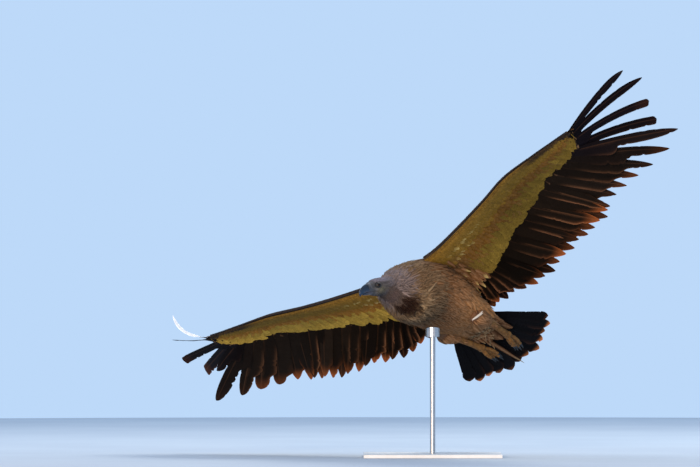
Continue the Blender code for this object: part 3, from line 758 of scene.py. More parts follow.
STUDIO = colour(189, 217, 249)


def tinted(rgb):
    return np.concatenate((rgb, np.ones((*rgb.shape[:-1], 1))), axis=-1)


def body_colour(t, angle):
    """Plumage colour of trunk and ruff by place: back, chest, belly, flank, vent and rump."""
    back = smooth(np.sin(angle), 0.10, 0.65)
    rgb = mix(BELLY, CHEST, smooth(t, 4.5, 6.5))
    # Painted shade: the lowest band of the underside is made darker and the rest lighter, as light
    # from above leaves them.
    rgb = rgb * (1.40 - 0.85 * smooth(-np.sin(angle), 0.55, 1.0))[..., None]
    rgb = mix(rgb, FLANK, smooth(t, 1.2, 2.4) * (1 - smooth(t, 3.4, 4.6))
              * bump(np.sin(angle), -0.45, 0.5))
    rgb = mix(rgb, VENT, 1 - smooth(t, 0.4, 1.8))
    rgb = mix(rgb, BACK, back)
    return mix(rgb, PALE_RUMP, back * smooth(t, 0.3, 1.0) * (1 - smooth(t, 2.6, 3.6)))


# Station and angle of the crop patch, and its half size in each
CROP_PLACE, CROP_SIZE = (9.5, -1.38), (1.35, 0.64)


def from_crop(t, angle):
    """Distance from the middle of the crop patch, in its half sizes."""
    off = np.abs((angle - CROP_PLACE[1] + math.pi) % FULL_TURN - math.pi)
    return np.sqrt(((t - CROP_PLACE[0]) / CROP_SIZE[0]) ** 2 + (off / CROP_SIZE[1]) ** 2)


def crop_share(t, angle):
    """1 on the dark crop patch, 0 away from it."""
    return 1 - smooth(from_crop(t, angle), 0.55, 1.15)


def crop_rim(t, angle):
    """The pale rim round the patch, strongest towards the tail."""
    return bump(from_crop(t, angle), 1.20, 0.20) * (0.3 + 0.7 * smooth(CROP_PLACE[0] - t, 0.3, 1.0))


def head_colour(local):
    """Colour of the bare or thinly covered head and neck, by place in the head's frame."""
    x, y, z = local[..., 0], np.abs(local[..., 1]), local[..., 2]
    rgb = mix(NECK_GREY, FACE, smooth(x, -0.045, -0.018))
    rgb = mix(rgb, CROWN, smooth(z, 0.014, 0.026) * (1 - smooth(x, 0.006, 0.018)))
    rgb = mix(rgb, CHEEK, bump(x, -0.006, 0.015) * bump(z, -0.008, 0.013) * smooth(y, 0.008, 0.016))
    rgb = mix(rgb, LORES, smooth(x, 0.008, 0.018) * (1 - smooth(z, 0.012, 0.020)))
    rgb = mix(rgb, THROAT, bump(x, -0.072, 0.018) * (1 - smooth(z, -0.024, -0.008)) * 0.6)
    rgb = mix(rgb, NECK_PALE, (1 - smooth(x, -0.044, -0.018)) * smooth(z, -0.006, 0.014))
    near_eye = np.exp(-eye_offset(x, z, 0.0135, 0.0095) ** 2)
    return mix(rgb, LORES * 0.35, near_eye * smooth(y, 0.008, 0.014) * 0.9)


# Painted light and shade on the pale under coverts, darker along the left wing and lighter along
# the right: share of the full colour along each wing
COVERT_PAINTED_LIGHT = {"left": ((0.0, 2.0, 3.0, 4.5, 6.0), (0.72, 0.70, 0.52, 0.56, 0.62)),
               "right": ((0.0, 2.0, 3.0, 4.5, 6.0), (1.25, 1.30, 1.35, 1.30, 1.30))}


def under_colour(t, share):
    """Under wing coverts by place: dark front edge, brown bands and the pale greater coverts."""
    hand = smooth(t, 4.0, 5.6)
    rgb = mix(UNDER_OLIVE * 0.5, UNDER_OLIVE, smooth(share, 0.0006, 0.0060))
    rgb = mix(rgb, UNDER_BROWN, smooth(share, 0.20, 0.34))
    rgb = mix(rgb, UNDER_PALE, smooth(share, 0.44 - 0.10 * hand, 0.68 - 0.10 * hand))
    rgb = mix(rgb, AXILLA, (1 - smooth(t, 0.7, 1.5)) * smooth(share, 0.10, 0.35))
    front = 0.03 + 0.97 * smooth(t, 6.2, 7.0)
    return mix(rgb, HAND_DARK, smooth(t, 4.2, 5.0)
               * (1 - smooth(share, front - 0.04, front + 0.04)))


def upper_colour(_, share):
    """Upper wing coverts, by share of the chord alone."""
    rgb = mix(UNDER_EDGE, UPPER_BROWN, smooth(share, 0.08, 0.18))
    return mix(rgb, BACK, smooth(share, 0.4, 0.9) * 0.6)


# The skin's map has a strip for the body and one for each side of each wing and thigh
def body_map(t, angle):
    return np.stack((MARGIN + 0.44 * t / SPINE_END, MARGIN + INNER * (angle / FULL_TURN % 1.0)),
                    axis=-1)


def wing_map(side, level):
    corner = 0.50 + (0.25 if side == "right" else 0.0) + (0.12 if level > 0 else 0.0)

    def place(t, q):
        return np.stack((corner + 0.11 * np.clip(q, 0, 1.1) / 1.1,
                         MARGIN + 0.70 * np.clip(t, 0, 7.6) / 7.6), axis=-1)
    return place


def thigh_map(side):
    corner = 0.50 if side == "left" else 0.75

    def place(along, angle):
        return np.stack((corner + 0.22 * along / 4.0, 0.76 + 0.22 * (angle / FULL_TURN % 1.0)),
                        axis=-1)
    return place


# ---------------------------------------------------------------- the coat of the body

def shaded(rng, count, base, streak, edge, spread=0.12, tip=None, tip_start=0.78):
    """Feather colours: pale along the shaft, darker to the edges, no two feathers the same."""
    tone = (1 + rng.normal(0.0, spread, count))[:, None, None, None]

    def tint(s, x, a, b):
        place = np.broadcast_to(base(a, b), (*s.shape, 3))
        pale = streak(a, b) if callable(streak) else streak
        rgb = mix(place * edge, mix(place, STREAK, pale), 1 - np.abs(x))
        if tip is not None:
            rgb = mix(rgb, tip(a, b) if callable(tip) else tip, smooth(s, tip_start, 1.0) * 0.7)
        return tinted(np.clip(rgb * tone, 0, 1))
    return tint


def plain(rgb):
    """One colour all over, for shaded()."""
    return lambda a, b: rgb + 0 * np.asarray(a)[..., None]


def backward(surface, a, b, swirl=0.0):
    """Direction towards the tail along a body surface, turned by swirl."""
    normal, along = surface_frame(surface, a, b)[1:3]
    back = -unit(along - normal * dot(along, normal)[:, None])
    return unit(back + np.cross(normal, back) * np.broadcast_to(swirl, len(a))[:, None])


def lay_on_body(rng, batch, a, b, sway, uneven, length, width, shade, lean=None, lift=0.001,
                **form):
    """Feathers that lie towards the tail, swayed and uneven, with the values of shade for shaded().

    lean turns them aside; lift may be a range to draw from, times a factor.
    """
    heading = backward(body_surface, a, b, rng.normal(0.0, sway, len(a)))
    if lean is not None:
        heading = unit(heading + np.outer(lean, ASIDE))
    size = 1 + rng.normal(0.0, uneven, len(a))
    tint = shaded(rng, len(a), *shade)
    if isinstance(lift, tuple):
        lift = rng.uniform(lift[0], lift[1], len(a)) * lift[2]
    lay(rng, batch, body_surface, a, b, heading, length * size, width * size, tint, body_map,
        lift=lift, **form)


def trunk_coat(rng):
    batch = Batch()
    a, b = scatter(rng, (0.9, 7.4), ALL_ROUND, body_surface, (0.0125, 0.0100))
    lay_on_body(rng, batch, a, b, 0.07, 0.14,
                np.interp(a, (0.9, 3.0, 5.5, 7.4), (0.072, 0.066, 0.058, 0.048)),
                np.interp(a, (0.9, 3.0, 7.4), (0.020, 0.018, 0.014)),
                (body_colour, 0.26, 0.84, 0.07),
                lift=0.0004, outline="lance", sink=0.0065, rows=8, tilt=0.04)
    # A looser, fuller mantle over the shoulders, and side feathers that bridge to the wings
    for t_range, b_range, height in (((5.6, 8.6), (0.35, 2.75), 0.012),
                                     ((2.2, 7.0), (-0.50, 0.40), 0.009),
                                     ((2.2, 7.0), (2.75, 3.64), 0.009)):
        a, b = scatter(rng, t_range, b_range, body_surface, (0.011, 0.010))
        height = height * (1 - smooth(a, 6.8, 8.0))
        lay_on_body(rng, batch, a, b, 0.10, 0.14, 0.066, 0.016, (body_colour, 0.28, 0.80, 0.08),
                    lift=(0.3, 1.0, height), outline="lance", rows=8, tilt=0.05)
    return batch


def ruff_base(t, angle):
    rgb = mix(RUFF_PALE, RUFF_DARK, 0.35 + 0.25 * np.sin(9.0 * angle) * np.sin(5.3 * t))
    rgb = mix(rgb, body_colour(t, angle), 0.25)
    rgb = mix(rgb, NECK_PALE, 0.7 * smooth(t, 9.2, 10.6))
    return mix(mix(rgb, RUFF_PALE * 1.5, crop_rim(t, angle)), CROP, crop_share(t, angle))


RUFF_LIFT = 0.0045


def ruff_front(angle):
    """Station where the ruff begins: near the head above and at the sides, lower on the throat."""
    return np.interp(np.sin(angle), (-1.0, -0.866, -0.45), (9.7, 10.6, 11.8))


def ruff_coat(rng):
    """Loose, lance-shaped feathers round the base of the neck, and short ones on the crop."""
    batch = Batch()
    for t_range, spacing, length, width in (((6.5, 8.6), (0.0078, 0.0064), 0.054, 0.0066),
                                            ((8.6, 12.0), (0.0056, 0.0046), 0.046, 0.0048)):
        a, b = scatter(rng, t_range, ALL_ROUND, body_surface, spacing)
        keep = a < ruff_front(b) + rng.uniform(-0.15, 0.15, len(a))
        a, b = a[keep], b[keep]
        on_crop = crop_share(a, b)
        heading = backward(body_surface, a, b, rng.normal(0.0, 0.22, len(a)))
        size = (1 + rng.normal(0.0, 0.18, len(a))) * (1 - 0.45 * on_crop)
        high = rng.uniform(0.2, 1.4, len(a)) * RUFF_LIFT * (1 - 0.8 * on_crop)
        high = high * (1 - 0.7 * smooth(np.sin(b), 0.0, 0.6))
        tint = shaded(rng, len(a), ruff_base, lambda a, b: 0.14 * (1 - crop_share(a, b)), 0.72,
                      0.14)
        lay(rng, batch, body_surface, a, b, heading, length * size, width * size, tint, body_map,
            outline="lance", sink=0.005 - 0.013 * on_crop, lift=high + 0.009 * on_crop, rows=8,
            tilt=0.15, curl=rng.uniform(-0.02, 0.06, len(a)))
    return batch


def down_base(t, angle):
    return head_colour(head_space(body_surface(t, angle)))


def neck_coat(rng):
    """Thin down that grows shorter from the ruff to the back of the head."""
    batch = Batch()
    a, b = scatter(rng, (9.5, 12.2), ALL_ROUND, body_surface, (0.0030, 0.0026))
    length = np.interp(a, (9.5, 10.5, 12.2), (0.020, 0.011, 0.0065))
    lay_on_body(rng, batch, a, b, 0.25, 0.2, length, length * 0.22, (down_base, 0.12, 0.7, 0.18),
                lift=0.0006, outline="lock", rows=4, sink=0.0016, thickness=0.0004, curl=0.05)
    return batch


def on_face(t, angle):
    """Whether a place on the head carries down, clear of the eye, the lores and the gape."""
    local = head_space(body_surface(t, angle))
    x, y, z = local[..., 0], np.abs(local[..., 1]), local[..., 2]
    clear_of_eye = (eye_offset(x, z, 0.0115, 0.0098) > 1.0) | (y < 0.012)
    return clear_of_eye & ~((x > 0.012) & (z < 0.010) & (y > 0.006)) & (x < 0.0185)


def head_coat(rng):
    """Short down on the head, clear of the bare parts."""
    batch = Batch()
    a, b = scatter(rng, (12.0, 15.8), ALL_ROUND, body_surface, (0.0021, 0.0019))
    keep = on_face(a, b)
    a, b = a[keep], b[keep]
    length = np.interp(a, (12.0, 14.0, 15.8), (0.0062, 0.0048, 0.0030))
    lay_on_body(rng, batch, a, b, 0.22, 0.2, length, length * 0.20, (down_base, 0.10, 0.75, 0.2),
                lift=0.0002, outline="lock", rows=4, sink=0.0009, thickness=0.0003)
    return batch


def tail_coverts(rng):
    """Long coverts that run from the rump over the bases of the tail feathers, above and below."""
    batch = Batch()
    for t0, length, width in ((0.9, 0.075, 0.026), (0.55, 0.085, 0.028), (0.2, 0.090, 0.030),
                              (0.0, 0.080, 0.030)):
        a, b = scatter(rng, (t0, t0 + 0.28), ALL_ROUND, body_surface, (0.0105, 0.0120))
        flat = 0.30 + 0.70 * smooth(np.abs(np.sin(b)), 0.1, 0.6)
        lay_on_body(rng, batch, a, b, 0.06, 0.10, length * flat, width * flat,
                    (body_colour, 0.25, 0.7, 0.12), lean=np.cos(b) * 0.30, rows=8, columns=5,
                    sink=0.003, tilt=0.06)
    # Long, pale-tipped coverts under the tail, which run together to a wedge between the feet
    middle = -math.pi / 2
    for t0, length, spread in ((1.6, 0.085, 1.0), (1.1, 0.110, 0.85), (0.6, 0.140, 0.7),
                               (0.15, 0.170, 0.45), (0.05, 0.255, 0.16)):
        a, b = scatter(rng, (t0, t0 + 0.45), (middle - spread, middle + spread), body_surface,
                       (0.011, 0.009))
        lay_on_body(rng, batch, a, b, 0.06, 0.10, length, 0.019,
                    (body_colour, 0.35, 0.7, 0.12, VENT_TIP), lean=-np.cos(b) * 0.30,
                    lift=(0.001, 0.008, 1.0), outline="lance", rows=9, columns=5, tilt=0.06)
    # A stray pale feather across the left flank
    for t0, angle in ((2.95, -0.95), (3.00, -0.93)):
        a, b = np.array([t0]), np.array([angle])
        across = unit(surface_frame(body_surface, a, b)[3]) + backward(body_surface, a, b) * 0.55
        tint = shaded(rng, 1, plain(STRAY), 0.0, 1.0, 0.02)
        lay(rng, batch, body_surface, a, b, across, 0.044, 0.0060, tint, body_map, outline="blunt",
            rows=8, sink=-0.018, lift=0.024)
    return batch


# ---------------------------------------------------------------- the wings' coverts

def remex_bases(side):
    """Station on the covert edge, tip and bow of each remex of one wing, innermost first."""
    rows = []
    for i in range(SECONDARY_COUNT):
        part = i / (SECONDARY_COUNT - 1)
        tip = curve(SECONDARY_TIPS, part * (len(SECONDARY_TIPS) - 1))
        ragged = 0.009 * math.sin(2.4 * i) - 0.004 * math.cos(5.1 * i)
        rows.append((np.interp(part, (0, 1), SECONDARY_BASE), tip + np.array((ragged, 0, 0)), 0.0))
    last = len(PRIMARY_TIPS) - 1
    for i, tip in enumerate(PRIMARY_TIPS):
        base = np.interp(i, (0, last), PRIMARY_BASE)
        root = curve(COVERT_EDGE, base)
        tip = root + (tip - root) * MOULT[side].get(i + 1, 1.0)
        tip[2] += LAST_TIP_RAISE[side] if i == last else 0.0
        rows.append((base, tip, PRIMARY_BOW[i]))
    return rows


REMEX_ROWS = remex_bases("left")


def along_remiges(t):
    """Direction of the remiges that emerge near station t of the covert edge."""
    bases = [row[0] for row in REMEX_ROWS]
    ways = np.array([unit(row[1] - curve(COVERT_EDGE, row[0])) for row in REMEX_ROWS])
    return unit(np.stack([np.interp(t, bases, ways[:, k]) for k in range(3)], axis=-1))


def covert_heading(surface, t, q):
    """Coverts lie along the chord in front and along the remiges behind."""
    share = q * q
    turned = smooth(share, 0.1, 0.75) * smooth(t, 2.0, 5.5) * 0.9 + 0.1 * smooth(share, 0.3, 0.8)
    return unit(mix(unit(surface_frame(surface, t, q)[3]), along_remiges(t), turned))


def coat_surface(level):
    """What the coverts lie on: the upper side's are flatter than the solid."""
    return arm_surface(level, 0.56 if level > 0 else 1.0)


def chord_at(t):
    return np.linalg.norm(curve(COVERT_EDGE, t) - curve(LEADING_EDGE, t), axis=-1)


def on_wing(side):
    return lambda points: wing_place(side, points)


def cream_tip(t, q):
    """A broken line of cream-tipped coverts near the wing's root."""
    end = np.where(q * q < 0.2, 2.5, 1.9)
    along = smooth(t, 0.9, 1.2) * (1 - smooth(t, end - 0.3, end))
    return mix(UNDER_OLIVE, CREAM, along * smooth(np.sin(19.0 * t + 40.0 * q), -0.5, 0.2))


# Share of the chord at the roots, length, width and spacing; the rows run from front to rear
COVERT_ROWS = (
    (0.0004, 0.008, 0.0064, 0.0042), (0.002, 0.013, 0.0080, 0.0048), (0.006, 0.016, 0.0085, 0.0050),
    (0.016, 0.018, 0.0100, 0.0062), (0.036, 0.022, 0.0115, 0.0072), (0.066, 0.026, 0.0130, 0.0082),
    (0.105, 0.030, 0.0145, 0.0092), (0.150, 0.033, 0.0160, 0.0100), (0.200, 0.036, 0.0175, 0.0110),
    (0.255, 0.039, 0.0190, 0.0118), (0.315, 0.042, 0.0205, 0.0128), (0.380, 0.045, 0.0220, 0.0138),
    (0.450, 0.050, 0.0240, 0.0150), (0.525, 0.055, 0.0260, 0.0165), (0.600, 0.060, 0.0290, 0.0185),
)
CREAM_ROWS, PALE_ROWS_FROM = (6, 9), 6


def covert_coat(rng, side, level):
    """Rows of coverts over one side of one wing, small in front and long behind."""
    surface = coat_surface(level)
    base = under_colour if level < 0 else upper_colour

    def by_share(t, q):
        # Painted light and shade: the under coverts' pale rows are darker on the left wing and
        # lighter on the right.
        tone = 1 + (np.interp(t, *COVERT_PAINTED_LIGHT[side]) - 1) * smooth(q, 0.40, 0.70) * (level < 0)
        return base(t, q * np.abs(q)) * tone[..., None]

    batch = Batch()
    for number, (share, length, width, spacing) in reversed(list(enumerate(COVERT_ROWS))):
        t, q = span_row(rng, surface, math.sqrt(share), (0.25, 7.0), spacing)
        fit = np.clip(chord_at(t) / 0.25, 0.30, 1.0) ** 0.8
        size = fit * (1 + rng.normal(0.0, 0.10, len(t)))
        if level < 0:
            streak, tip, tip_start = 0.12, cream_tip if number in CREAM_ROWS else None, 0.45
        else:
            streak, tip, tip_start = 0.10, UPPER_PALE if number >= PALE_ROWS_FROM else None, 0.78
        tint = shaded(rng, len(t), by_share, streak, 0.84, 0.09, tip, tip_start)
        lay(rng, batch, surface, t, q, covert_heading(surface, t, q), length * size, width * size,
            tint, wing_map(side, level), rows=6, lift=0.0007, tilt=-0.08, place=on_wing(side),
            sink=fit * float(np.interp(share, (0.0004, 0.006), (0.0050, 0.0022))))
    return batch


def shoulder_coat(rng, side):
    """Long loose feathers that carry the body's plumage over the wing's root, above and below."""
    batch = Batch()
    for level, tone, limits in ((-1, mix(BELLY, CHEST, 0.4), (0.50, 0.70, 1.00, 0.50, 0.12)),
                                (1, BACK, (0.60, 0.75, 0.90, 1.00, 1.10))):
        surface = coat_surface(level)
        a, b = scatter(rng, (-0.9, 1.7), (0.08, 1.0), surface, (0.0125, 0.0110))
        reach = np.interp(b * b, (0, 0.45, 0.75, 0.85, 1), limits)
        keep = a < reach + rng.normal(0.0, 0.08, len(a))
        a, b = a[keep], b[keep]
        heading = np.stack((-np.ones(len(a)), 0.10 + rng.normal(0.0, 0.10, len(a)), -0.05 + 0 * a),
                           axis=-1)
        size = 1 + rng.normal(0.0, 0.16, len(a))
        length = np.minimum(np.interp(b, (0.1, 0.5), (0.045, 0.060)),
                            (1 - b * b) * 0.29 + 0.022) * size

        def specks(t, q, tone=tone):
            return mix(tone, CREAM, np.sin(570.0 * t + 310.0 * q) > 0.86)

        tint = shaded(rng, len(a), plain(tone), 0.26, 0.82, 0.08, specks, 0.6)
        lay(rng, batch, surface, a, b, heading, length, length * 0.26, tint, wing_map(side, level),
            outline="lance", rows=8, lift=rng.uniform(0.001, 0.007, len(a)), tilt=0.05,
            place=on_wing(side))
    return batch


def greater_coverts(rng, side, level):
    """The rearmost coverts: one row between the remiges and one over them."""
    surface = coat_surface(level)
    base = under_colour if level < 0 else upper_colour

    def by_share(t, q):
        # Painted light and shade: the under greater coverts are darker on the left wing and lighter
        # on the right.
        tone = np.interp(t, *COVERT_PAINTED_LIGHT[side]) if level < 0 else np.ones(np.shape(t))
        return base(t, np.minimum(q * q + 0.12, 1.0)) * tone[..., None]

    shade = (0.0, 1.15, 0.10, None) if level < 0 else (0.12, 0.72, 0.10, UPPER_PALE)
    batch = Batch()
    bases = np.array([row[0] for row in REMEX_ROWS])
    halves = np.concatenate(([bases[0] - 0.25], bases, (bases[1:] + bases[:-1]) / 2))
    for stations, root_share, reach, wide in ((halves, 0.70, 1.025, 1.0), (bases, 0.60, 0.90, 0.9)):
        t = np.clip(np.sort(stations) + rng.normal(0.0, 0.015, len(stations)), 0.05, 7.0)
        step = curve(COVERT_EDGE, t + 0.05) - curve(COVERT_EDGE, t - 0.05)
        room = np.gradient(t) * np.linalg.norm(step, axis=-1) * 10
        if level < 0:
            root_share, reach = root_share - 0.08, reach - 0.12 - 0.12 * bump(t, 4.5, 0.35)
            reach = (reach - 0.10 * (1 - smooth(t, 0.2, 1.3))
                     + 0.12 * bump(t, 1.55, 0.22) * (side == "left"))
        length = (reach - root_share) * chord_at(t) * (1 + rng.normal(0.0, 0.10, len(t))) + 0.008
        width = np.clip(room * 2.1, 0.012, 0.046) * wide
        q = np.sqrt(np.full(len(t), root_share))
        tint = shaded(rng, len(t), by_share, *shade)
        lay(rng, batch, surface, t, q, covert_heading(surface, t, q), length, width, tint,
            wing_map(side, level), outline="blunt", rows=12, columns=5, sink=0.0012,
            lift=0.0010, tilt=-0.08, place=on_wing(side))
    return batch


# ---------------------------------------------------------------- flight feathers and tail

# Places across a vane, from its outer to its inner edge; the rachis is the ridge at 0
VANE_COLUMNS = np.array((1.0, 0.68, 0.36, 0.07, 0.0, -0.05, -0.28, -0.52, -0.76, -1.0))
HIDDEN_SHARE = -0.26


def vane_steps(rows):
    return np.concatenate((np.linspace(HIDDEN_SHARE, 0.0, 7)[:-1],
                           np.linspace(0.0, 1.0, rows) ** 0.92))


def wear(rng, count, s, notches, depth):
    """Share of the half width that is left along an edge, with notches torn by use."""
    left = np.ones((count, len(s)))
    for _ in range(notches):
        at = rng.uniform(0.35, 0.99, (count, 1))
        cut = rng.uniform(0.2, 1.0, (count, 1)) * depth * rng.integers(0, 2, (count, 1))
        left -= cut * bump(s[None, :], at, rng.uniform(0.006, 0.016, (count, 1)))
    return np.clip(left + rng.normal(0.0, 0.008, left.shape), 0.25, 1.1)


# Thickness of a large feather's shaft at its root and tip and of its vane, and its edges' bend
SHAFT_ROOT, SHAFT_TIP, VANE_DEPTH, VANE_CUP = 0.0022, 0.0005, 0.0006, 0.05


def lay_vanes(rng, batch, lines, across, s, inner, outer, shingle, tint, place=None, depth=0.24,
              glint_feather=None):
    """Large feathers, each a closed thin solid with a raised shaft.

    lines and across are (feathers, steps, 3), and inner and outer are the half widths. shingle
    tilts each vane so that it passes between its neighbours. depth is that of the worn notches.
    The last argument is the number of a feather whose upper face gets a painted white highlight,
    the sun's glint.
    """
    count = len(lines)
    tangent = unit(np.gradient(lines, axis=1))
    across = unit(across - tangent * dot(across, tangent)[..., None])
    normal = np.cross(across, tangent)
    edge_out, edge_in = wear(rng, count, s, 5, depth * 0.6), wear(rng, count, s, 9, depth)
    x = VANE_COLUMNS
    out = np.where(x > 0, x * (outer * edge_out)[..., None], x * (inner * edge_in)[..., None])
    height = shingle[..., None] * out - VANE_CUP * np.abs(out) * np.abs(x)
    rachis = np.interp(s, (-0.03, 0.04, 1.0), (VANE_DEPTH, SHAFT_ROOT, SHAFT_TIP))
    ridge = np.where(np.abs(x) < 0.01, rachis[:, None], VANE_DEPTH)
    thick = ridge * (1 - np.abs(x) ** 6)
    base = lines[:, :, None, :] + across[:, :, None, :] * out[..., None]
    points = lens_points(base, normal[:, :, None, :], height, thick, place)
    s_grid, x_grid = (np.broadcast_to(value, out.shape) for value in (s[:, None], x))
    tints = both_sides(tint(s_grid, x_grid))
    # Painted highlight: one feather's upper face is painted near-white for the sun's glint on it.
    if glint_feather is not None:
        tints[glint_feather, :s_grid[0].size, :3] = PAINTED_GLINT
    vane_map = np.stack(((1 - x_grid) / 2, s_grid), axis=-1)
    cell = np.arange(count)[:, None, None] / count
    patch = np.stack((cell + 0.9 / count * vane_map[..., 0], MARGIN + INNER * (s_grid + 0.3) / 1.3),
                     axis=-1)
    batch.add(points, lens_faces(len(s), len(x)), tints, both_sides(vane_map), both_sides(patch))


def vane_tint(rng, count, dark, pale, tip, tip_start=0.72, rust=1.0, fringed=0.45):
    """Dark vanes with paler inner webs; rust is the share of tip colour on the worn edges."""
    tone = (1 + rng.normal(0.0, 0.22, count))[:, None, None, None]
    worn = (rng.choice((0.15, 0.45, 1.0), count, p=(0.35, 0.3, 0.35)) * rust)[:, None, None]
    web = (rng.choice((0.0, 0.3, 1.0), count, p=(0.3, 0.3, 0.4)) * rust)[:, None, None]

    def tint(s, x):
        rgb = mix(dark, pale, web * (smooth(-x, 0.72, 1.0) * smooth(s, 0.05, 0.4)
                                     + 0.3 * (np.abs(x) < 0.06)))
        fringe = smooth(np.abs(x), 0.6, 1.0) * smooth(s, 0.5, 0.95)
        share = worn * (0.75 * smooth(s, tip_start, 1.0) + fringed * fringe)
        rgb = mix(rgb, tip, np.clip(share, 0, 1))
        return tinted(np.clip(rgb * tone, 0, 1))
    return tint


def tip_shape(s, start, power, point=0.5):
    """Share of the width that a tip leaves: round where point is 0.5, sharp towards 1."""
    reach = np.clip((s - start) / (1 - start), 0.0, 1.0)
    return np.clip(1 - reach ** power, 0.0, 1.0) ** point * 0.95 + 0.05


# How far the middle of each primary bends forward
FINGER_BOW = (0.0, 0.0, 0.0, 0.0, 0.002, 0.004, 0.012, 0.014, 0.017, 0.018)


def remex_lines(side, s):
    """Shafts of one wing's remiges, from inside the arm to their tips, as (28, steps, 3)."""
    middle = arm_surface(0.0)
    lines = []
    for base, tip, bow in remex_bases(side):
        root = curve(COVERT_EDGE, base)
        chord = np.linalg.norm(root - curve(LEADING_EDGE, base))
        length = np.linalg.norm(tip - root)
        share = np.maximum(1 + np.minimum(s, 0.0) * length / chord, 0.10 if base < 5.4 else 0.60)
        hidden = middle(np.full(len(s), base), np.sqrt(share))
        part = s[:, None]
        number = len(lines) - SECONDARY_COUNT
        stretch = 0.035 * math.sin(11.7 * len(lines) + SIDES[side]) if number < 3 else 0.0
        if side == "right":
            stretch += 0.05 * (number == 7) - 0.12 * (1 - smooth(len(lines), 8, 14))
        else:
            stretch -= 0.03 * (2 <= number <= 7)
        tip = tip + (tip - root) * stretch
        ahead, rise = FINGER_BOW[number] if number >= 0 else 0.0, bow / 3
        if side == "right":
            ahead, bow = (-0.006, bow) if number >= 8 else (0.0, bow * 0.3)
            rise = -0.006 if number == 9 else bow / 3
        shown = root + (tip - root) * part + np.array((ahead, bow, rise)) * 4 * part * (1 - part)
        lines.append(np.where(part < 0, hidden, shown))
    return np.array(lines)


# Where the taper to the tip starts, as a share of the length, its power and its sharpness
TIP_FORMS = {"point": (0.60, 2.2, 0.78), "round": (0.80, 2.0, 0.55), "blunt": (0.955, 1.6, 0.42),
             "oval": (0.55, 2.4, 0.60), "worn": (0.70, 1.7, 0.85)}
PRIMARY_TIP_FORMS = {
    "left": ("worn", "worn", "point", "point", "point", "point", "blunt", "blunt", "point",
             "point"),
    "right": ("worn", "round", "round", "oval", "oval", "worn", "blunt", "blunt", "point", "point"),
}
# Share of the length where each primary parts from its outer neighbour
FINGER_SLOTS = {"left": (0.80, 0.74, 0.70, 0.60, 0.42, 0.27, 0.20, 0.10, 0.0),
                "right": (0.84, 0.74, 0.62, 0.40, 0.42, 0.27, 0.20, 0.13, 0.12)}
# Full width of each primary beyond that slot
VANE_WIDTHS = {"left": (0.044, 0.044, 0.044, 0.042, 0.038, 0.034, 0.029, 0.027, 0.025, 0.023),
               "right": (0.046, 0.046, 0.050, 0.048, 0.045, 0.036, 0.038, 0.029, 0.026, 0.015)}
# Turn of each finger about its shaft, in degrees
FINGER_TWIST = {"left": {}, "right": {8: -60.0, 9: -80.0}}


def between(gaps):
    """The way across each feather, from its neighbours on both sides."""
    return np.concatenate((gaps[:1], (gaps[1:] + gaps[:-1]) / 2, gaps[-1:]))


def flight_feathers(rng, side):
    s = vane_steps(46)
    lines = remex_lines(side, s)
    count = len(lines)
    gaps = np.diff(remex_lines("left", s), axis=0)
    spacing = np.linalg.norm(gaps, axis=-1)
    across = between(gaps)
    inner = np.concatenate((spacing[:1], spacing)) * 1.12
    outer = np.concatenate((spacing, spacing[-1:])) * 0.52
    for i in range(count):
        number = i - SECONDARY_COUNT
        if number < 0:
            form = "worn"
            free_in, free_out = 0.74, 0.74
            width = 0.040
        else:
            form = PRIMARY_TIP_FORMS[side][number]
            free_in = FINGER_SLOTS[side][number - 1] if number else 0.80
            free_out = FINGER_SLOTS[side][number] if number < 9 else 0.0
            width = VANE_WIDTHS[side][number]
            twist = math.radians(FINGER_TWIST[side].get(number, 0.0))
            twist = twist * smooth(s, 0.0, 0.35)[:, None]
            along = unit(np.gradient(lines[i], axis=0))
            side_way = unit(across[i] - along * dot(across[i], along)[:, None])
            across[i] = side_way * np.cos(twist) + np.cross(side_way, along) * np.sin(twist)
        start, power, point = TIP_FORMS[form]
        finger_in = smooth(s, free_in - 0.10, free_in + 0.03)
        finger_out = smooth(s, free_out - 0.10, free_out + 0.03)
        slim = 0.62 if number >= 3 else 0.60
        inner[i] = np.minimum(inner[i], 0.052) * (1 - finger_in) + width * slim * finger_in
        outer[i] = np.minimum(outer[i], 0.026) * (1 - finger_out) + width * (1 - slim) * finger_out
        taper = tip_shape(s, start, power, point)
        narrow_root = np.interp(s, (HIDDEN_SHARE, -0.08), (0.35, 1.0))
        inner[i] *= taper * narrow_root
        outer[i] *= taper * narrow_root
    shingle = 0.055 * smooth(s, -0.12, 0.25)
    batch = Batch()
    order = np.arange(count)
    rust = np.interp(order, (0, 4, 10, 17, 19, 21, 23, 27),
                     (0.5, 0.8, 1.0, 1.0, 0.6, 0.4, 0.2, 0.1))
    dark = mix(REMEX * 0.5, REMEX * 1.15, smooth(order, 3, 16))
    dark = mix(dark, FINGER_DARK, smooth(order, 21, 24))[:, None, None, :]
    # The right wing's outermost primary gets a painted highlight on its upper face.
    lay_vanes(rng, batch, lines, across, s, inner, outer, shingle,
              vane_tint(rng, count, dark, REMEX_PALE, REMEX_TIP, rust=rust),
              glint_feather=count - 1 if side == "right" else None, place=on_wing(side))
    return batch


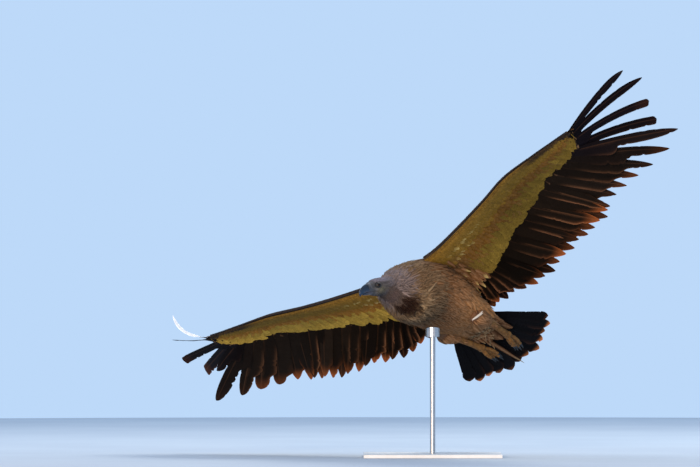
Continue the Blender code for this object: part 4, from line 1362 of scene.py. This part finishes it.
def tail_shafts(s):
    """Shafts of the rectrices, right to left, as (12, steps, 3)."""
    lines = []
    roll = math.radians(TAIL_ROLL)
    for k in range(TAIL_COUNT):
        index = -1 + k * 2.0 / (TAIL_COUNT - 1)
        outer = min(index, 0.0) ** 2
        angle = math.radians(TAIL_HALF_ANGLE * index + TAIL_SWING + 3.5 * outer)
        length = TAIL_LENGTH + (TAIL_EDGE_LENGTH - TAIL_LENGTH) * index ** 2 + 0.020 * outer
        tip = TAIL_PIVOT + length * np.array((-math.cos(angle), math.sin(angle), 0.0))
        base = np.array((BODY_STATIONS[0][0], TAIL_ROOT_HALF_WIDTH * index, TAIL_PIVOT[2]))
        worn = 1.0 - TAIL_WEAR * (0.6 + 0.8 * math.sin(4.3 * k))
        flat = base + (tip - base) * (s * np.where(s > 0.8, worn, 1.0))[:, None]
        drop = math.tan(math.radians(TAIL_DROOP)) * (base[0] - flat[:, 0])
        height = (flat[:, 2] + flat[:, 1] * math.sin(roll) - drop
                  - 0.003 * abs(index) + 0.0008 * (k == 5))
        lines.append(np.stack((flat[:, 0], flat[:, 1] * math.cos(roll), height), axis=-1))
    return np.array(lines)


def tail_feathers(rng):
    s = vane_steps(40)
    lines = tail_shafts(s)
    across = between(np.diff(lines, axis=0))
    room = np.linalg.norm(across, axis=-1)
    outward = np.sign(np.arange(TAIL_COUNT) - (TAIL_COUNT - 1) / 2)[:, None]
    taper = tip_shape(s, 0.80, 2.0, 0.85) * np.interp(s, (HIDDEN_SHARE, 0.1), (0.4, 1.0))
    wide, narrow = room * 0.95 * taper, room * 0.55 * taper
    inner = np.where(outward > 0, wide, narrow)
    outer = np.where(outward > 0, narrow, wide)
    shingle = outward * 0.05 * smooth(s, -0.1, 0.2)
    batch = Batch()
    lay_vanes(rng, batch, lines, across, s, inner, outer, shingle,
              vane_tint(rng, TAIL_COUNT, TAIL_DARK, TAIL_DARK * 1.6, TAIL_TIP, 0.915, fringed=0.03),
              depth=0.5)
    return batch


# ---------------------------------------------------------------- legs

def thigh_surface(u, angle):
    """Feathered thigh in the left leg's place; u runs from the hip, 0, to the ankle, 4."""
    inside = np.clip(u, 0.0, 4.0)
    path = LEG_PATH[:3]
    centre = curve(path, inside / 2)
    along = (curve(path, np.minimum(inside + 0.1, 4.0) / 2)
             - curve(path, np.maximum(inside - 0.1, 0.0) / 2))
    radius = curve(np.array(THIGH_RADII)[:, None], inside)[..., 0]
    radius = radius * (0.40 + 0.60 * smooth(inside, 0.0, 2.2))
    forward = unit(along)
    side = unit(np.cross(np.broadcast_to(UP, forward.shape), forward))
    top = np.cross(forward, side)
    centre = centre + forward * ((u - inside) * 0.03)[..., None]
    return (centre + side * (radius * 0.8 * np.cos(angle))[..., None]
            + top * (radius * np.sin(angle))[..., None])


def thigh_coat(rng, side):
    batch = Batch()
    a, b = scatter(rng, (1.5, 4.1), ALL_ROUND, thigh_surface, (0.0090, 0.0080))
    normal, along = surface_frame(thigh_surface, a, b)[1:3]
    heading = unit(along + np.cross(normal, along) * rng.normal(0.0, 0.15, len(a))[:, None])
    size = 1 + rng.normal(0.0, 0.15, len(a))
    length = np.interp(a, (0, 3, 4.1), (0.046, 0.036, 0.022)) * size

    def base(u, angle):
        return mix(BELLY, VENT, smooth(u, 1.0, 4.0) * 0.5) + 0 * np.asarray(angle)[..., None]

    tint = shaded(rng, len(a), base, 0.35, 0.62, 0.14)
    lay(rng, batch, thigh_surface, a, b, heading, length, length * 0.34, tint, thigh_map(side),
        outline="lance", sink=0.0035, lift=0.0012, curl=0.03,
        place=lambda points: leg_place(side, points))
    return batch


def round_angles(sides):
    return np.linspace(0, FULL_TURN, sides, endpoint=False)


def tube_grid(points, radii, sides, widening=1.0):
    """Rings round a line of points, as (rings, sides, 3)."""
    points, radii = np.asarray(points, float), np.asarray(radii, float)
    along = unit(np.gradient(points, axis=0))
    side = unit(np.cross(np.broadcast_to(UP, along.shape), along))
    top = np.cross(along, side)
    angle = round_angles(sides)[:, None]
    ring = side[:, None] * np.cos(angle) * widening + top[:, None] * np.sin(angle)
    return points[:, None] + ring * radii[:, None, None]


def closed_tube(name, grid, bake=None):
    """A closed object through rings of points; bake is the rings' map with one more column.

    Objects to be joined have either all such a map or none.
    """
    rings, sides = grid.shape[:2]
    index = np.arange(rings * sides).reshape(rings, sides)
    after = np.roll(index, -1, axis=1)
    quads = np.stack((index[:-1], after[:-1], after[1:], index[1:]), axis=-1).reshape(-1, 4)
    faces = [tuple(face) for face in quads.tolist()] + [tuple(index[0][::-1].tolist()),
                                                        tuple(index[-1].tolist())]
    mesh = bpy.data.meshes.new(name)
    mesh.from_pydata(grid.reshape(-1, 3).tolist(), [], faces)
    if bake is not None:
        corners = np.stack((bake[:-1, :-1], bake[:-1, 1:], bake[1:, 1:], bake[1:, :-1]),
                           axis=2).reshape(-1, 2)
        values = np.concatenate((corners, bake[0, :-1][::-1], bake[-1, :-1]))
        mesh.uv_layers.new(name="OFBake").uv.foreach_set("vector",
                                                         values.ravel().astype(np.float32))
    item = bpy.data.objects.new(name, mesh)
    bpy.context.scene.collection.objects.link(item)
    bm = bmesh.new()
    bm.from_mesh(mesh)
    bmesh.ops.recalc_face_normals(bm, faces=bm.faces)
    bm.to_mesh(mesh)
    bm.free()
    return item


def apply_modifiers(item, material):
    """The object with its modifiers baked into its mesh."""
    evaluated = item.evaluated_get(bpy.context.evaluated_depsgraph_get())
    mesh = bpy.data.meshes.new_from_object(evaluated)
    item.modifiers.clear()
    item.data = mesh
    mesh.materials.clear()
    mesh.materials.append(material)
    return mesh


def union(base, others, operation="UNION"):
    for other in others:
        modifier = base.modifiers.new(other.name, "BOOLEAN")
        modifier.operation, modifier.solver, modifier.object = operation, "EXACT", other


def drop(items):
    for item in items:
        bpy.data.objects.remove(item, do_unlink=True)


def leg(side, material):
    """Shank, foot and toes as one skin, ringed with scutes."""
    ankle, ball, tips = (leg_place(side, point) for point in LEG_PATH[2:])
    along, direction = unit(ball - ankle), unit(tips - ball)
    across = unit(np.cross(UP, direction)) * SIDES[side]
    start = ball + along * 0.0024
    part = np.linspace(-0.12, 1.12, 60)
    scutes = 1 + 0.05 * np.abs(np.sin(part * 42))
    shank = tube_grid(ankle + (ball - ankle) * part[:, None],
                      np.interp(part, (0, 0.3, 0.7, 1), (0.0125, 0.0105, 0.0100, 0.0115)) * scutes,
                      sides=24)
    reach = np.linspace(-0.004, 0.024, 14)
    sole = tube_grid(start + along * reach[:, None],
                     np.interp(reach, (-0.004, 0.010, 0.024), (0.009, 0.0125, 0.008)), 24, 1.25)
    tubes = [shank, sole]
    ends = []
    for spread, length, height in TOES:
        root = start + along * 0.012 + across * spread * 0.35 + UP * height * 0.4
        bend = root + direction * length * 0.5 + across * spread * 0.8 + UP * height
        end = root + direction * length + across * spread * 0.9 + UP * (height - 0.006)
        part = np.linspace(0, 2, 40)
        line = curve(np.array([root, bend, end]), part)
        joints = 0.10 * (bump(part, 0.75, 0.13) + bump(part, 1.4, 0.13) + bump(part, 1.9, 0.12))
        rings = 1 + joints + 0.05 * np.abs(np.sin(part * 22))
        radius = np.interp(part, (0, 1, 2), (0.0065, 0.0060, 0.0044)) * rings
        tubes.append(tube_grid(line, radius, 20, 1.08))
        ends.append((end, unit(end - bend)))
    objects = [closed_tube(f"{side}_leg_{i}", on_stand(grid)) for i, grid in enumerate(tubes)]
    union(objects[0], objects[1:])
    foot = objects[0]
    remesh = foot.modifiers.new("remesh", "REMESH")
    remesh.mode, remesh.voxel_size = "VOXEL", 0.0009
    blend = foot.modifiers.new("smooth", "SMOOTH")
    blend.factor, blend.iterations = 0.5, 2
    mesh = apply_modifiers(foot, material)
    foot.name = mesh.name = side + "_leg"
    mesh.shade_smooth()
    unwrap_by_axis(mesh, np.array(POSE @ direction))
    drop(objects[1:])
    return foot, ends


def unwrap_by_axis(mesh, axis):
    """Simple bake map: along an axis, and round it."""
    points = vertex_values(mesh, "co")
    from_centre = points - points.mean(axis=0)
    along = from_centre @ axis
    side = unit(np.cross(axis, UP))
    angle = np.arctan2(from_centre @ np.cross(side, axis), from_centre @ side)
    values = np.stack(((along - along.min()) / np.ptp(along), (angle / FULL_TURN) % 1.0), axis=-1)
    loops = np.empty(len(mesh.loops), dtype=np.int32)
    mesh.loops.foreach_get("vertex_index", loops)
    layer = mesh.uv_layers.new(name="OFBake")
    layer.uv.foreach_set("vector", (values * INNER + MARGIN)[loops].ravel().astype(np.float32))


def capped_mesh(name, grid, material, tints):
    """A smooth closed tube with tint, vane and bake maps, whose ends are closed by small fans."""
    rings, sides = grid.shape[:2]
    grid = np.concatenate((grid[:1].mean(axis=1, keepdims=True).repeat(sides, 1), grid,
                           grid[-1:].mean(axis=1, keepdims=True).repeat(sides, 1)))
    grid[0] = grid[0] + (grid[1] - grid[0]) * 0.02
    grid[-1] = grid[-1] + (grid[-2] - grid[-1]) * 0.02
    tints = np.concatenate((tints[:1], tints, tints[-1:]))
    rings += 2
    index = np.arange(rings * sides).reshape(rings, sides)
    after = np.roll(index, -1, axis=1)
    faces = np.stack((index[:-1], index[1:], after[1:], after[:-1]), axis=-1).reshape(-1, 4)
    around = np.abs(np.linspace(-1, 1, sides, endpoint=False))
    along = np.linspace(0, 1, rings)
    bake = pair_map(np.arange(sides) / sides, along) * INNER + MARGIN
    return make_mesh(name, grid.reshape(-1, 3), faces, material, tints.reshape(-1, 4),
                     pair_map(around, along), bake, HARD_CREASE)


CLAW_LENGTH, CLAW_HOOK, CLAW_ARC = 0.020, 0.55, math.radians(62.0)


def claws(side, ends, material):
    """Hooked horn at the end of each toe."""
    made = []
    part = np.linspace(-0.12, 1, 18)
    reach = CLAW_LENGTH * np.sin(CLAW_ARC * part) / math.sin(CLAW_ARC)
    hook = CLAW_LENGTH * CLAW_HOOK * (1 - np.cos(CLAW_ARC * part))
    radius = np.interp(part, (-0.12, 0, 0.6, 1), (0.0038, 0.0046, 0.0026, 0.0005))
    rgb = mix(HORN_DARK * 1.6, HORN_DARK, smooth(part, -0.1, 0.3))[:, None, :]
    for number, (base, aim) in enumerate(ends, 1):
        line = base + aim * reach[:, None] - UP * hook[:, None]
        grid = on_stand(tube_grid(line, radius, 16, 0.85))
        tints = tinted(np.broadcast_to(rgb, grid.shape))
        made.append(capped_mesh(f"{side}_claw_{number}_horn", grid, material, tints))
    return made


# ---------------------------------------------------------------- bill, eyes and lids

# Distance along the head's axis, height of the cutting edge, half width, rise and drop
UPPER_BILL = np.array([
    (0.0180, -0.0093, 0.0146, 0.0265, 0.0010),
    (0.0220, -0.0095, 0.0150, 0.0275, 0.0010),
    (0.0340, -0.0100, 0.0128, 0.0265, 0.0010),
    (0.0460, -0.0108, 0.0104, 0.0233, 0.0012),
    (0.0570, -0.0125, 0.0080, 0.0180, 0.0020),
    (0.0645, -0.0150, 0.0055, 0.0110, 0.0022),
    (0.0668, -0.0180, 0.0032, 0.0058, 0.0026),
    (0.0680, -0.0225, 0.0008, 0.0012, 0.0010),
])
LOWER_BILL = np.array([
    (0.0180, -0.0108, 0.0130, 0.0004, 0.0094),
    (0.0220, -0.0112, 0.0135, 0.0004, 0.0098),
    (0.0360, -0.0120, 0.0113, 0.0004, 0.0094),
    (0.0480, -0.0134, 0.0084, 0.0004, 0.0074),
    (0.0570, -0.0158, 0.0045, 0.0004, 0.0040),
])
NOSTRIL = (0.0312, 0.0035)


def bill_grid(stations, rings, sides, square):
    """Rings of a bill half, in the head's frame."""
    last = len(stations) - 1
    t = np.linspace(0, last, rings)
    row = curve(stations, t)
    ahead, behind = (curve(stations, np.clip(t + step, 0, last))[:, :2] for step in (0.4, -0.4))
    slope = unit(ahead - behind)
    angle = round_angles(sides)
    c, s = np.cos(angle), np.sin(angle)
    lateral = np.sign(c) * np.abs(c) ** square
    vertical = np.where(s > 0, row[:, 3:4] * s, row[:, 4:5] * s)
    x = row[:, 0:1] - slope[:, 1:2] * vertical
    z = row[:, 1:2] + slope[:, 0:1] * vertical
    return np.stack((x, row[:, 2:3] * lateral, z), axis=-1)


def bill(material):
    """Upper half with cere and nostrils, and lower half."""
    grid = bill_grid(UPPER_BILL, 84, 56, 0.8)
    x, y, z = grid[..., 0], grid[..., 1], grid[..., 2]
    cere = 1 - smooth(x, 0.033, 0.037)
    outward = unit(np.stack((0 * x, y, z - 0.002), axis=-1))
    nostril = (bump(x, NOSTRIL[0], 0.0013) * bump(z, NOSTRIL[1], 0.0030)
               * smooth(np.abs(y), 0.004, 0.009))
    edge = bump(x, 0.0352, 0.0010)
    grid = grid + outward * (0.0005 * cere - 0.0026 * nostril - 0.0005 * edge)[..., None]
    # Painted reflection: the sky's blue is painted low on the upper bill's sides and in a band
    # towards the hook.
    rgb = mix(HORN_SKY_REFLECTION, HORN_DARK, smooth(z, -0.012, 0.010))
    rgb = mix(rgb, HORN_SKY_REFLECTION * 0.9, 0.5 * bump(x, 0.050, 0.010))
    rgb = mix(rgb, HORN_PALE, 0.7 * (1 - smooth(z, -0.0105, -0.0040))
              * (1 - smooth(x, 0.050, 0.062)))
    rgb = mix(rgb, mix(LORES, FACE, smooth(z, -0.004, 0.010)), cere * 0.9)
    # Painted shade: the nostrils' hollows are darkened.
    rgb = mix(rgb, LORES * 0.15, np.clip(nostril * 1.4, 0, 1))
    upper = capped_mesh("upper_bill_horn", on_stand(from_head(grid)), material, tinted(rgb))

    grid = bill_grid(LOWER_BILL, 56, 40, 0.9)
    # Painted reflection: the sky's blue is painted on the front of the lower bill.
    rgb = mix(HORN_PALE, HORN_SKY_REFLECTION, smooth(grid[..., 0], 0.036, 0.056))
    rgb = mix(rgb, HORN_DARK, 0.6 * (1 - smooth(grid[..., 2], -0.021, -0.015)))
    lower = capped_mesh("lower_bill_horn", on_stand(from_head(grid)), material, tinted(rgb))
    return upper, lower


def eye_axes(side):
    """Centre, outward, forward and upward axes of an eye, in the head's frame."""
    sign = SIDES[side]
    centre = EYE_PLACE * np.array((1, sign, 1))
    out = unit(np.array((0.26, sign, 0.10)))
    ahead = unit(np.array((1.0, 0, 0)) - out * out[0])
    return centre, out, ahead, np.cross(out, ahead) * sign


def eye(side, material):
    """Eyeball with a slight cornea; its colours go by the degrees from the middle of the pupil."""
    centre, out, ahead, up = eye_axes(side)
    cap = np.linspace(0.02, math.pi - 0.02, 44)
    around = round_angles(48)[:, None]
    radius = EYE_RADIUS * 0.985 * (1 + 0.035 * bump(cap, 0.0, 0.5))
    ring = ahead * np.cos(around) + up * np.sin(around)
    cap_way = np.cos(cap)[:, None, None] * out + np.sin(cap)[:, None, None] * ring
    grid = centre + radius[:, None, None] * cap_way
    degrees = np.degrees(cap)
    rgb = mix(mix(PUPIL, IRIS, smooth(degrees, 15, 18)), IRIS_RIM, smooth(degrees, 28, 34))
    tints = tinted(np.broadcast_to(rgb[:, None], grid.shape))
    return capped_mesh(side + "_eyeball", on_stand(from_head(grid)), material, tints)


# Degrees beyond the opening of the lids, and millimetres over the ball
LID_PROFILE = (
    (0.0, 0.10), (1.0, 0.55), (4.0, 0.85), (8.0, 0.70), (11.0, 0.45), (15.0, 0.75), (20.0, 0.55),
    (24.0, 0.30), (29.0, 0.45), (36.0, 0.05), (48.0, -0.9), (46.0, -2.0), (10.0, -0.9),
    (1.0, -0.25),
)


def lids(side, material):
    """Ring of bare wrinkled lids round an eye, open as an almond."""
    centre, out, ahead, up = eye_axes(side)
    around = round_angles(72)
    tall = np.abs(np.sin(around))
    opening = 37 - 9 * tall ** 1.5 + 3 * np.cos(around) * (tall < 0.5)
    way = ahead * np.cos(around)[:, None] + up * np.sin(around)[:, None]
    rings, tints = [], []
    for beyond, height in LID_PROFILE:
        cap = np.radians(opening + beyond)
        ripple = 0.08 * np.sin(around * 17 + beyond) * (height > 0.2)
        radius = EYE_RADIUS + (height + ripple) * 0.001
        rings.append(centre + radius[:, None]
                     * (np.cos(cap)[:, None] * out + np.sin(cap)[:, None] * way))
        shade = mix(LORES * 0.20, LORES * 0.6, smooth(np.array(beyond), 14.0, 30.0))
        tints.append(np.broadcast_to(shade, (len(around), 3)))
    grid = np.array(rings)
    count, sides = grid.shape[:2]
    index = np.arange(count * sides).reshape(count, sides)
    ahead_index = np.roll(index, -1, axis=0)
    faces = np.stack((index, ahead_index, np.roll(ahead_index, -1, axis=1),
                      np.roll(index, -1, axis=1)), axis=-1).reshape(-1, 4)
    if side == "right":
        faces = faces[:, ::-1]
    maps = pair_map(np.arange(sides) / sides, np.arange(count) / count)
    return make_mesh(side + "_eyelids", on_stand(from_head(grid.reshape(-1, 3))), faces, material,
                     tinted(np.array(tints)).reshape(-1, 4), maps, maps * INNER + MARGIN)


# ---------------------------------------------------------------- skin

# Height of the gape where it meets the bill, and how fast it drops towards the back of the head
GAPE_HEIGHT, GAPE_SLOPE, BILL_START = -0.0100, 0.10, 0.022
# Depth of the coat over the skin at stations of the body
COAT_DEPTH = ((0, 1, 2.5, 8.5, 10, 11.7, 13, 16),
              (0.002, 0.005, 0.008, 0.007, 0.003, 0.0014, 0.0010, 0.0006))


def gape_line(x, z, width):
    return bump(z, GAPE_HEIGHT - GAPE_SLOPE * (BILL_START - x), width)


def skin_surface(t, angle):
    """The body's outline less the coat, with the gape's crease and a wrinkled neck."""
    point, normal = surface_frame(body_surface, t, angle)[:2]
    x, y, z = np.moveaxis(head_space(point), -1, 0)
    gape = gape_line(x, z, 0.0013) * smooth(x, -0.002, 0.006) * smooth(np.abs(y), 0.005, 0.010)
    wrinkle = 0.0006 * np.sin(x * 1100 + 3 * np.sin(z * 160))
    wrinkle = wrinkle * smooth(t, 9.8, 10.6) * (1 - smooth(t, 11.8, 12.8))
    return point - normal * (np.interp(t, *COAT_DEPTH) + 0.0018 * gape + wrinkle)[..., None]


def body_skin():
    """Skin of trunk, neck and head, whose front rounds in to meet the bill."""
    t = np.concatenate((np.linspace(0.1, 9.5, 44), np.linspace(9.6, SPINE_END, 110)))
    angle = np.linspace(0, FULL_TURN, 121)
    grid = skin_surface(*np.meshgrid(t, angle[:-1], indexing="ij"))
    nose = from_head(np.array((BILL_START, 0, -0.001)))
    rounded = [nose + (grid[-1] - nose) * shrink + HEAD_X * ahead
               for shrink, ahead in ((0.985, 0.0009), (0.93, 0.0016), (0.86, 0.0016),
                                     (0.74, 0.0006))]
    grid = np.concatenate((grid, np.array(rounded)))
    t = np.concatenate((t, SPINE_END + np.arange(1, 5) * 0.05))
    bake = body_map(*np.meshgrid(t, np.clip(angle, 0, FULL_TURN - 1e-6), indexing="ij"))
    return closed_tube("bird_skin", on_stand(grid), bake)


# The arms' skin: shares of the chord, the share of the solid's thickness above and below, how it
# thins to the front edge, and the depth of the coat
ARM_SHARES = np.array((0.02, 0.04, 0.07, 0.12, 0.2, 0.3, 0.42, 0.55, 0.68, 0.80))
ARM_THIN, ARM_FRONT, ARM_COAT = {1: 0.45, -1: 0.78}, ((0.02, 0.15), (0.25, 1.0)), 0.0010


def arm_skin(side):
    stations, q = np.linspace(0.0, 6.9, 40), np.sqrt(ARM_SHARES)
    grids = []
    for level in (1, -1):
        surface = arm_surface(level, ARM_THIN[level] * np.interp(ARM_SHARES, *ARM_FRONT), ARM_COAT)
        grids.append(wing_place(side, surface(*np.meshgrid(stations, q, indexing="ij"))))
    grid = np.concatenate((grids[0], grids[1][:, ::-1]), axis=1)
    around = np.concatenate((q, q[::-1], q[:1]))
    above = np.concatenate((np.ones(len(q)), np.zeros(len(q)), np.ones(1)))[None, :, None] > 0
    places = np.meshgrid(stations, around, indexing="ij")
    bake = np.where(above, wing_map(side, 1)(*places), wing_map(side, -1)(*places))
    return closed_tube(side + "_arm_skin", on_stand(grid), bake)


def thigh_skin(side):
    u, around = np.linspace(0.9, 4.15, 22), np.linspace(0, FULL_TURN, 33)
    mesh = np.meshgrid(u, around[:-1], indexing="ij")
    point, normal = surface_frame(thigh_surface, *mesh)[:2]
    sign = np.sign(dot(normal, point - thigh_surface(mesh[0], mesh[1] + math.pi)))[..., None]
    depth = np.interp(u, (0, 3, 4), (0.005, 0.004, 0.002))[:, None, None]
    bake = thigh_map(side)(*np.meshgrid(u, np.clip(around, 0, 6.283), indexing="ij"))
    return closed_tube(side + "_thigh_skin",
                       on_stand(leg_place(side, point - normal * sign * depth)), bake)


def skin(material):
    """One skin over body, arms and thighs, with sockets for the eyes and the coat's markings."""
    body = body_skin()
    limbs = [make(side) for side in SIDES for make in (arm_skin, thigh_skin)]
    union(body, limbs)
    sockets = []
    for side in SIDES:
        place = on_stand(from_head(eye_axes(side)[0]))
        bpy.ops.mesh.primitive_uv_sphere_add(segments=40, ring_count=24, radius=EYE_RADIUS * 1.01,
                                             location=place)
        sockets.append(bpy.context.object)
    union(body, sockets, "DIFFERENCE")
    mesh = apply_modifiers(body, material)
    drop(limbs + sockets)
    points = (vertex_values(mesh, "co") - UP * BODY_HEIGHT) @ POSE
    facing = (vertex_values(mesh, "normal") @ POSE)[:, 2]
    local = head_space(points)
    x, z = local[:, 0], local[:, 2]
    plumage = mix(BELLY * 0.6, BACK * 0.6, smooth(points[:, 2], -0.02, 0.05))
    rgb = mix(plumage, head_colour(local), smooth(x, -0.110, -0.075))
    rgb = mix(rgb, wing_tint(points, facing), smooth(np.abs(points[:, 1]), 0.115, 0.140))
    # Painted shade: a dark line along the gape's crease.
    gape = np.clip(gape_line(x, z, 0.0012) * smooth(x, -0.002, 0.004), 0, 1)
    paint(mesh, tinted(mix(rgb, LORES * 0.3, gape * 0.8)))
    mesh.shade_smooth()
    mesh.set_sharp_from_angle(angle=math.radians(HARD_CREASE))
    return body


def wing_tint(points, facing):
    """The coverts' markings on the skin of the wings, by place in the bird's frame and normal."""
    y = np.abs(points[:, 1])
    t = np.interp(y, LEADING_EDGE[:, 1], np.arange(len(LEADING_EDGE)))
    front, rear = (np.interp(y, edge[:, 1], edge[:, 0]) for edge in (LEADING_EDGE, COVERT_EDGE))
    share = np.clip((front - points[:, 0]) / np.maximum(front - rear, 0.01), 0.0, 1.0)
    return mix(under_colour(t, share), upper_colour(t, share),
               np.maximum(smooth(facing, -0.1, 0.1), share < 0.06))


# ---------------------------------------------------------------- assembly

def own(item, slot, *nodes):
    """Tie a piece to the one body, with the solids that it stands for hidden. slot is not used."""
    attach(item, "root")
    if nodes:
        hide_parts(*nodes)
    return item


def build_bird():
    plumage = feather_material("plumage", 14.0, 0.75, 0.10, (*STREAK, 0.25), contrast=0.12)
    down = feather_material("down", 5.0, 0.85, 0.10, (*NECK_PALE, 0.0))
    coverts = feather_material("coverts", 26.0, 0.70, 0.22, (*COVERT_SHAFT, 0.25), contrast=0.34)
    remiges = feather_material("flight_feathers", 150.0, 0.55, 0.25, (*REMEX_PALE, 0.12),
                               gloss=0.03, through=2.6)
    rectrices = feather_material("tail_vanes", 150.0, 0.55, 0.15, (*TAIL_DARK, 0.5), gloss=0.03)
    flesh, horn = skin_material(), horn_material("bill_horn", 0.30)
    wings = [side + "_" + part for side in SIDES for part in ("upper_arm", "forearm", "hand")]
    own(skin(flesh), "plumage", "head", "neck", "ruff", "trunk", "tail_base", *wings, "left_thigh",
        "right_thigh")
    rng = np.random.default_rng(20)
    own(trunk_coat(rng).build("trunk_feathers", plumage), "plumage")
    own(ruff_coat(rng).build("ruff_feathers", plumage), "ruff")
    own(neck_coat(rng).build("neck_down", down), "down")
    own(head_coat(rng).build("head_down", down), "head")
    own(tail_coverts(rng).build("tail_coverts", plumage), "plumage")
    own(tail_feathers(rng).build("tail_vanes", rectrices), "flight_feathers", "tail_feathers")
    scales, claw = leg_material(), horn_material("claw_horn", 0.35)
    eyes = eye_material()
    for side in SIDES:
        flip = side == "right"
        for coat, word in ((covert_coat, ""), (greater_coverts, "greater_")):
            for level, face in ((-1, "under"), (1, "upper")):
                rows = coat(rng, side, level)
                own(rows.build(f"{side}_{word}{face}_coverts", coverts, flip), "coverts")
        own(shoulder_coat(rng, side).build(side + "_shoulder_feathers", plumage, flip), "plumage")
        own(flight_feathers(rng, side).build(side + "_remiges", remiges, flip), "flight_feathers",
            side + "_primaries", side + "_secondaries")
        own(thigh_coat(rng, side).build(side + "_thigh_feathers", plumage, flip), "plumage")
        foot, ends = leg(side, scales)
        own(foot, "leg_skin", side + "_shank", side + "_foot")
        for number, item in enumerate(claws(side, ends, claw), 1):
            own(item, "claw", f"{side}_claw_{number}")
        own(eye(side, eyes), "eye", side + "_eye")
        own(lids(side, flesh), "head")
    upper, lower = bill(horn)
    own(upper, "bill", "upper_bill")
    own(lower, "bill", "lower_bill")


def build_stage():
    """Pale floor, plain sky-blue studio, soft lights and the camera."""
    scene = bpy.context.scene
    bpy.ops.mesh.primitive_circle_add(vertices=96, radius=FLOOR_RADIUS, fill_type="NGON",
                                      location=(0, 0, 0))
    floor = bpy.context.object
    floor.name = "floor"
    floor.data.materials.append(floor_material())

    world = bpy.data.worlds.new("studio")
    scene.world = world
    world.use_nodes = True
    background = world.node_tree.nodes["Background"]
    background.inputs["Color"].default_value = (*STUDIO, 1.0)
    background.inputs["Strength"].default_value = 1.0
    scene.view_settings.view_transform = "Standard"

    for name, place, aim, size, power, rgb in LIGHTS:
        light = bpy.data.lights.new(name, "AREA")
        light.size, light.energy, light.color = size, power, rgb
        lamp = bpy.data.objects.new(name, light)
        lamp.visible_camera = False
        lamp.location = place
        lamp.rotation_euler = (Vector(aim) - Vector(place)).to_track_quat("-Z", "Y").to_euler()
        scene.collection.objects.link(lamp)

    camera = bpy.data.cameras.new("camera")
    camera.lens, camera.sensor_width = CAMERA_LENS, SENSOR_WIDTH
    camera.clip_start, camera.clip_end = 1.0, 200.0
    eye_point = bpy.data.objects.new("camera", camera)
    eye_point.location = CAMERA_PLACE
    eye_point.rotation_euler = (math.pi / 2, 0.0, 0.0)
    scene.collection.objects.link(eye_point)
    scene.camera = eye_point


build_bird()
for name, made in (("stand_base", paint_material()), ("stand_rod", steel_material()),
                   ("stand_cradle", steel_material())):
    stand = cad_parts[name]
    stand.data.materials.clear()
    stand.data.materials.append(made)
build_stage()
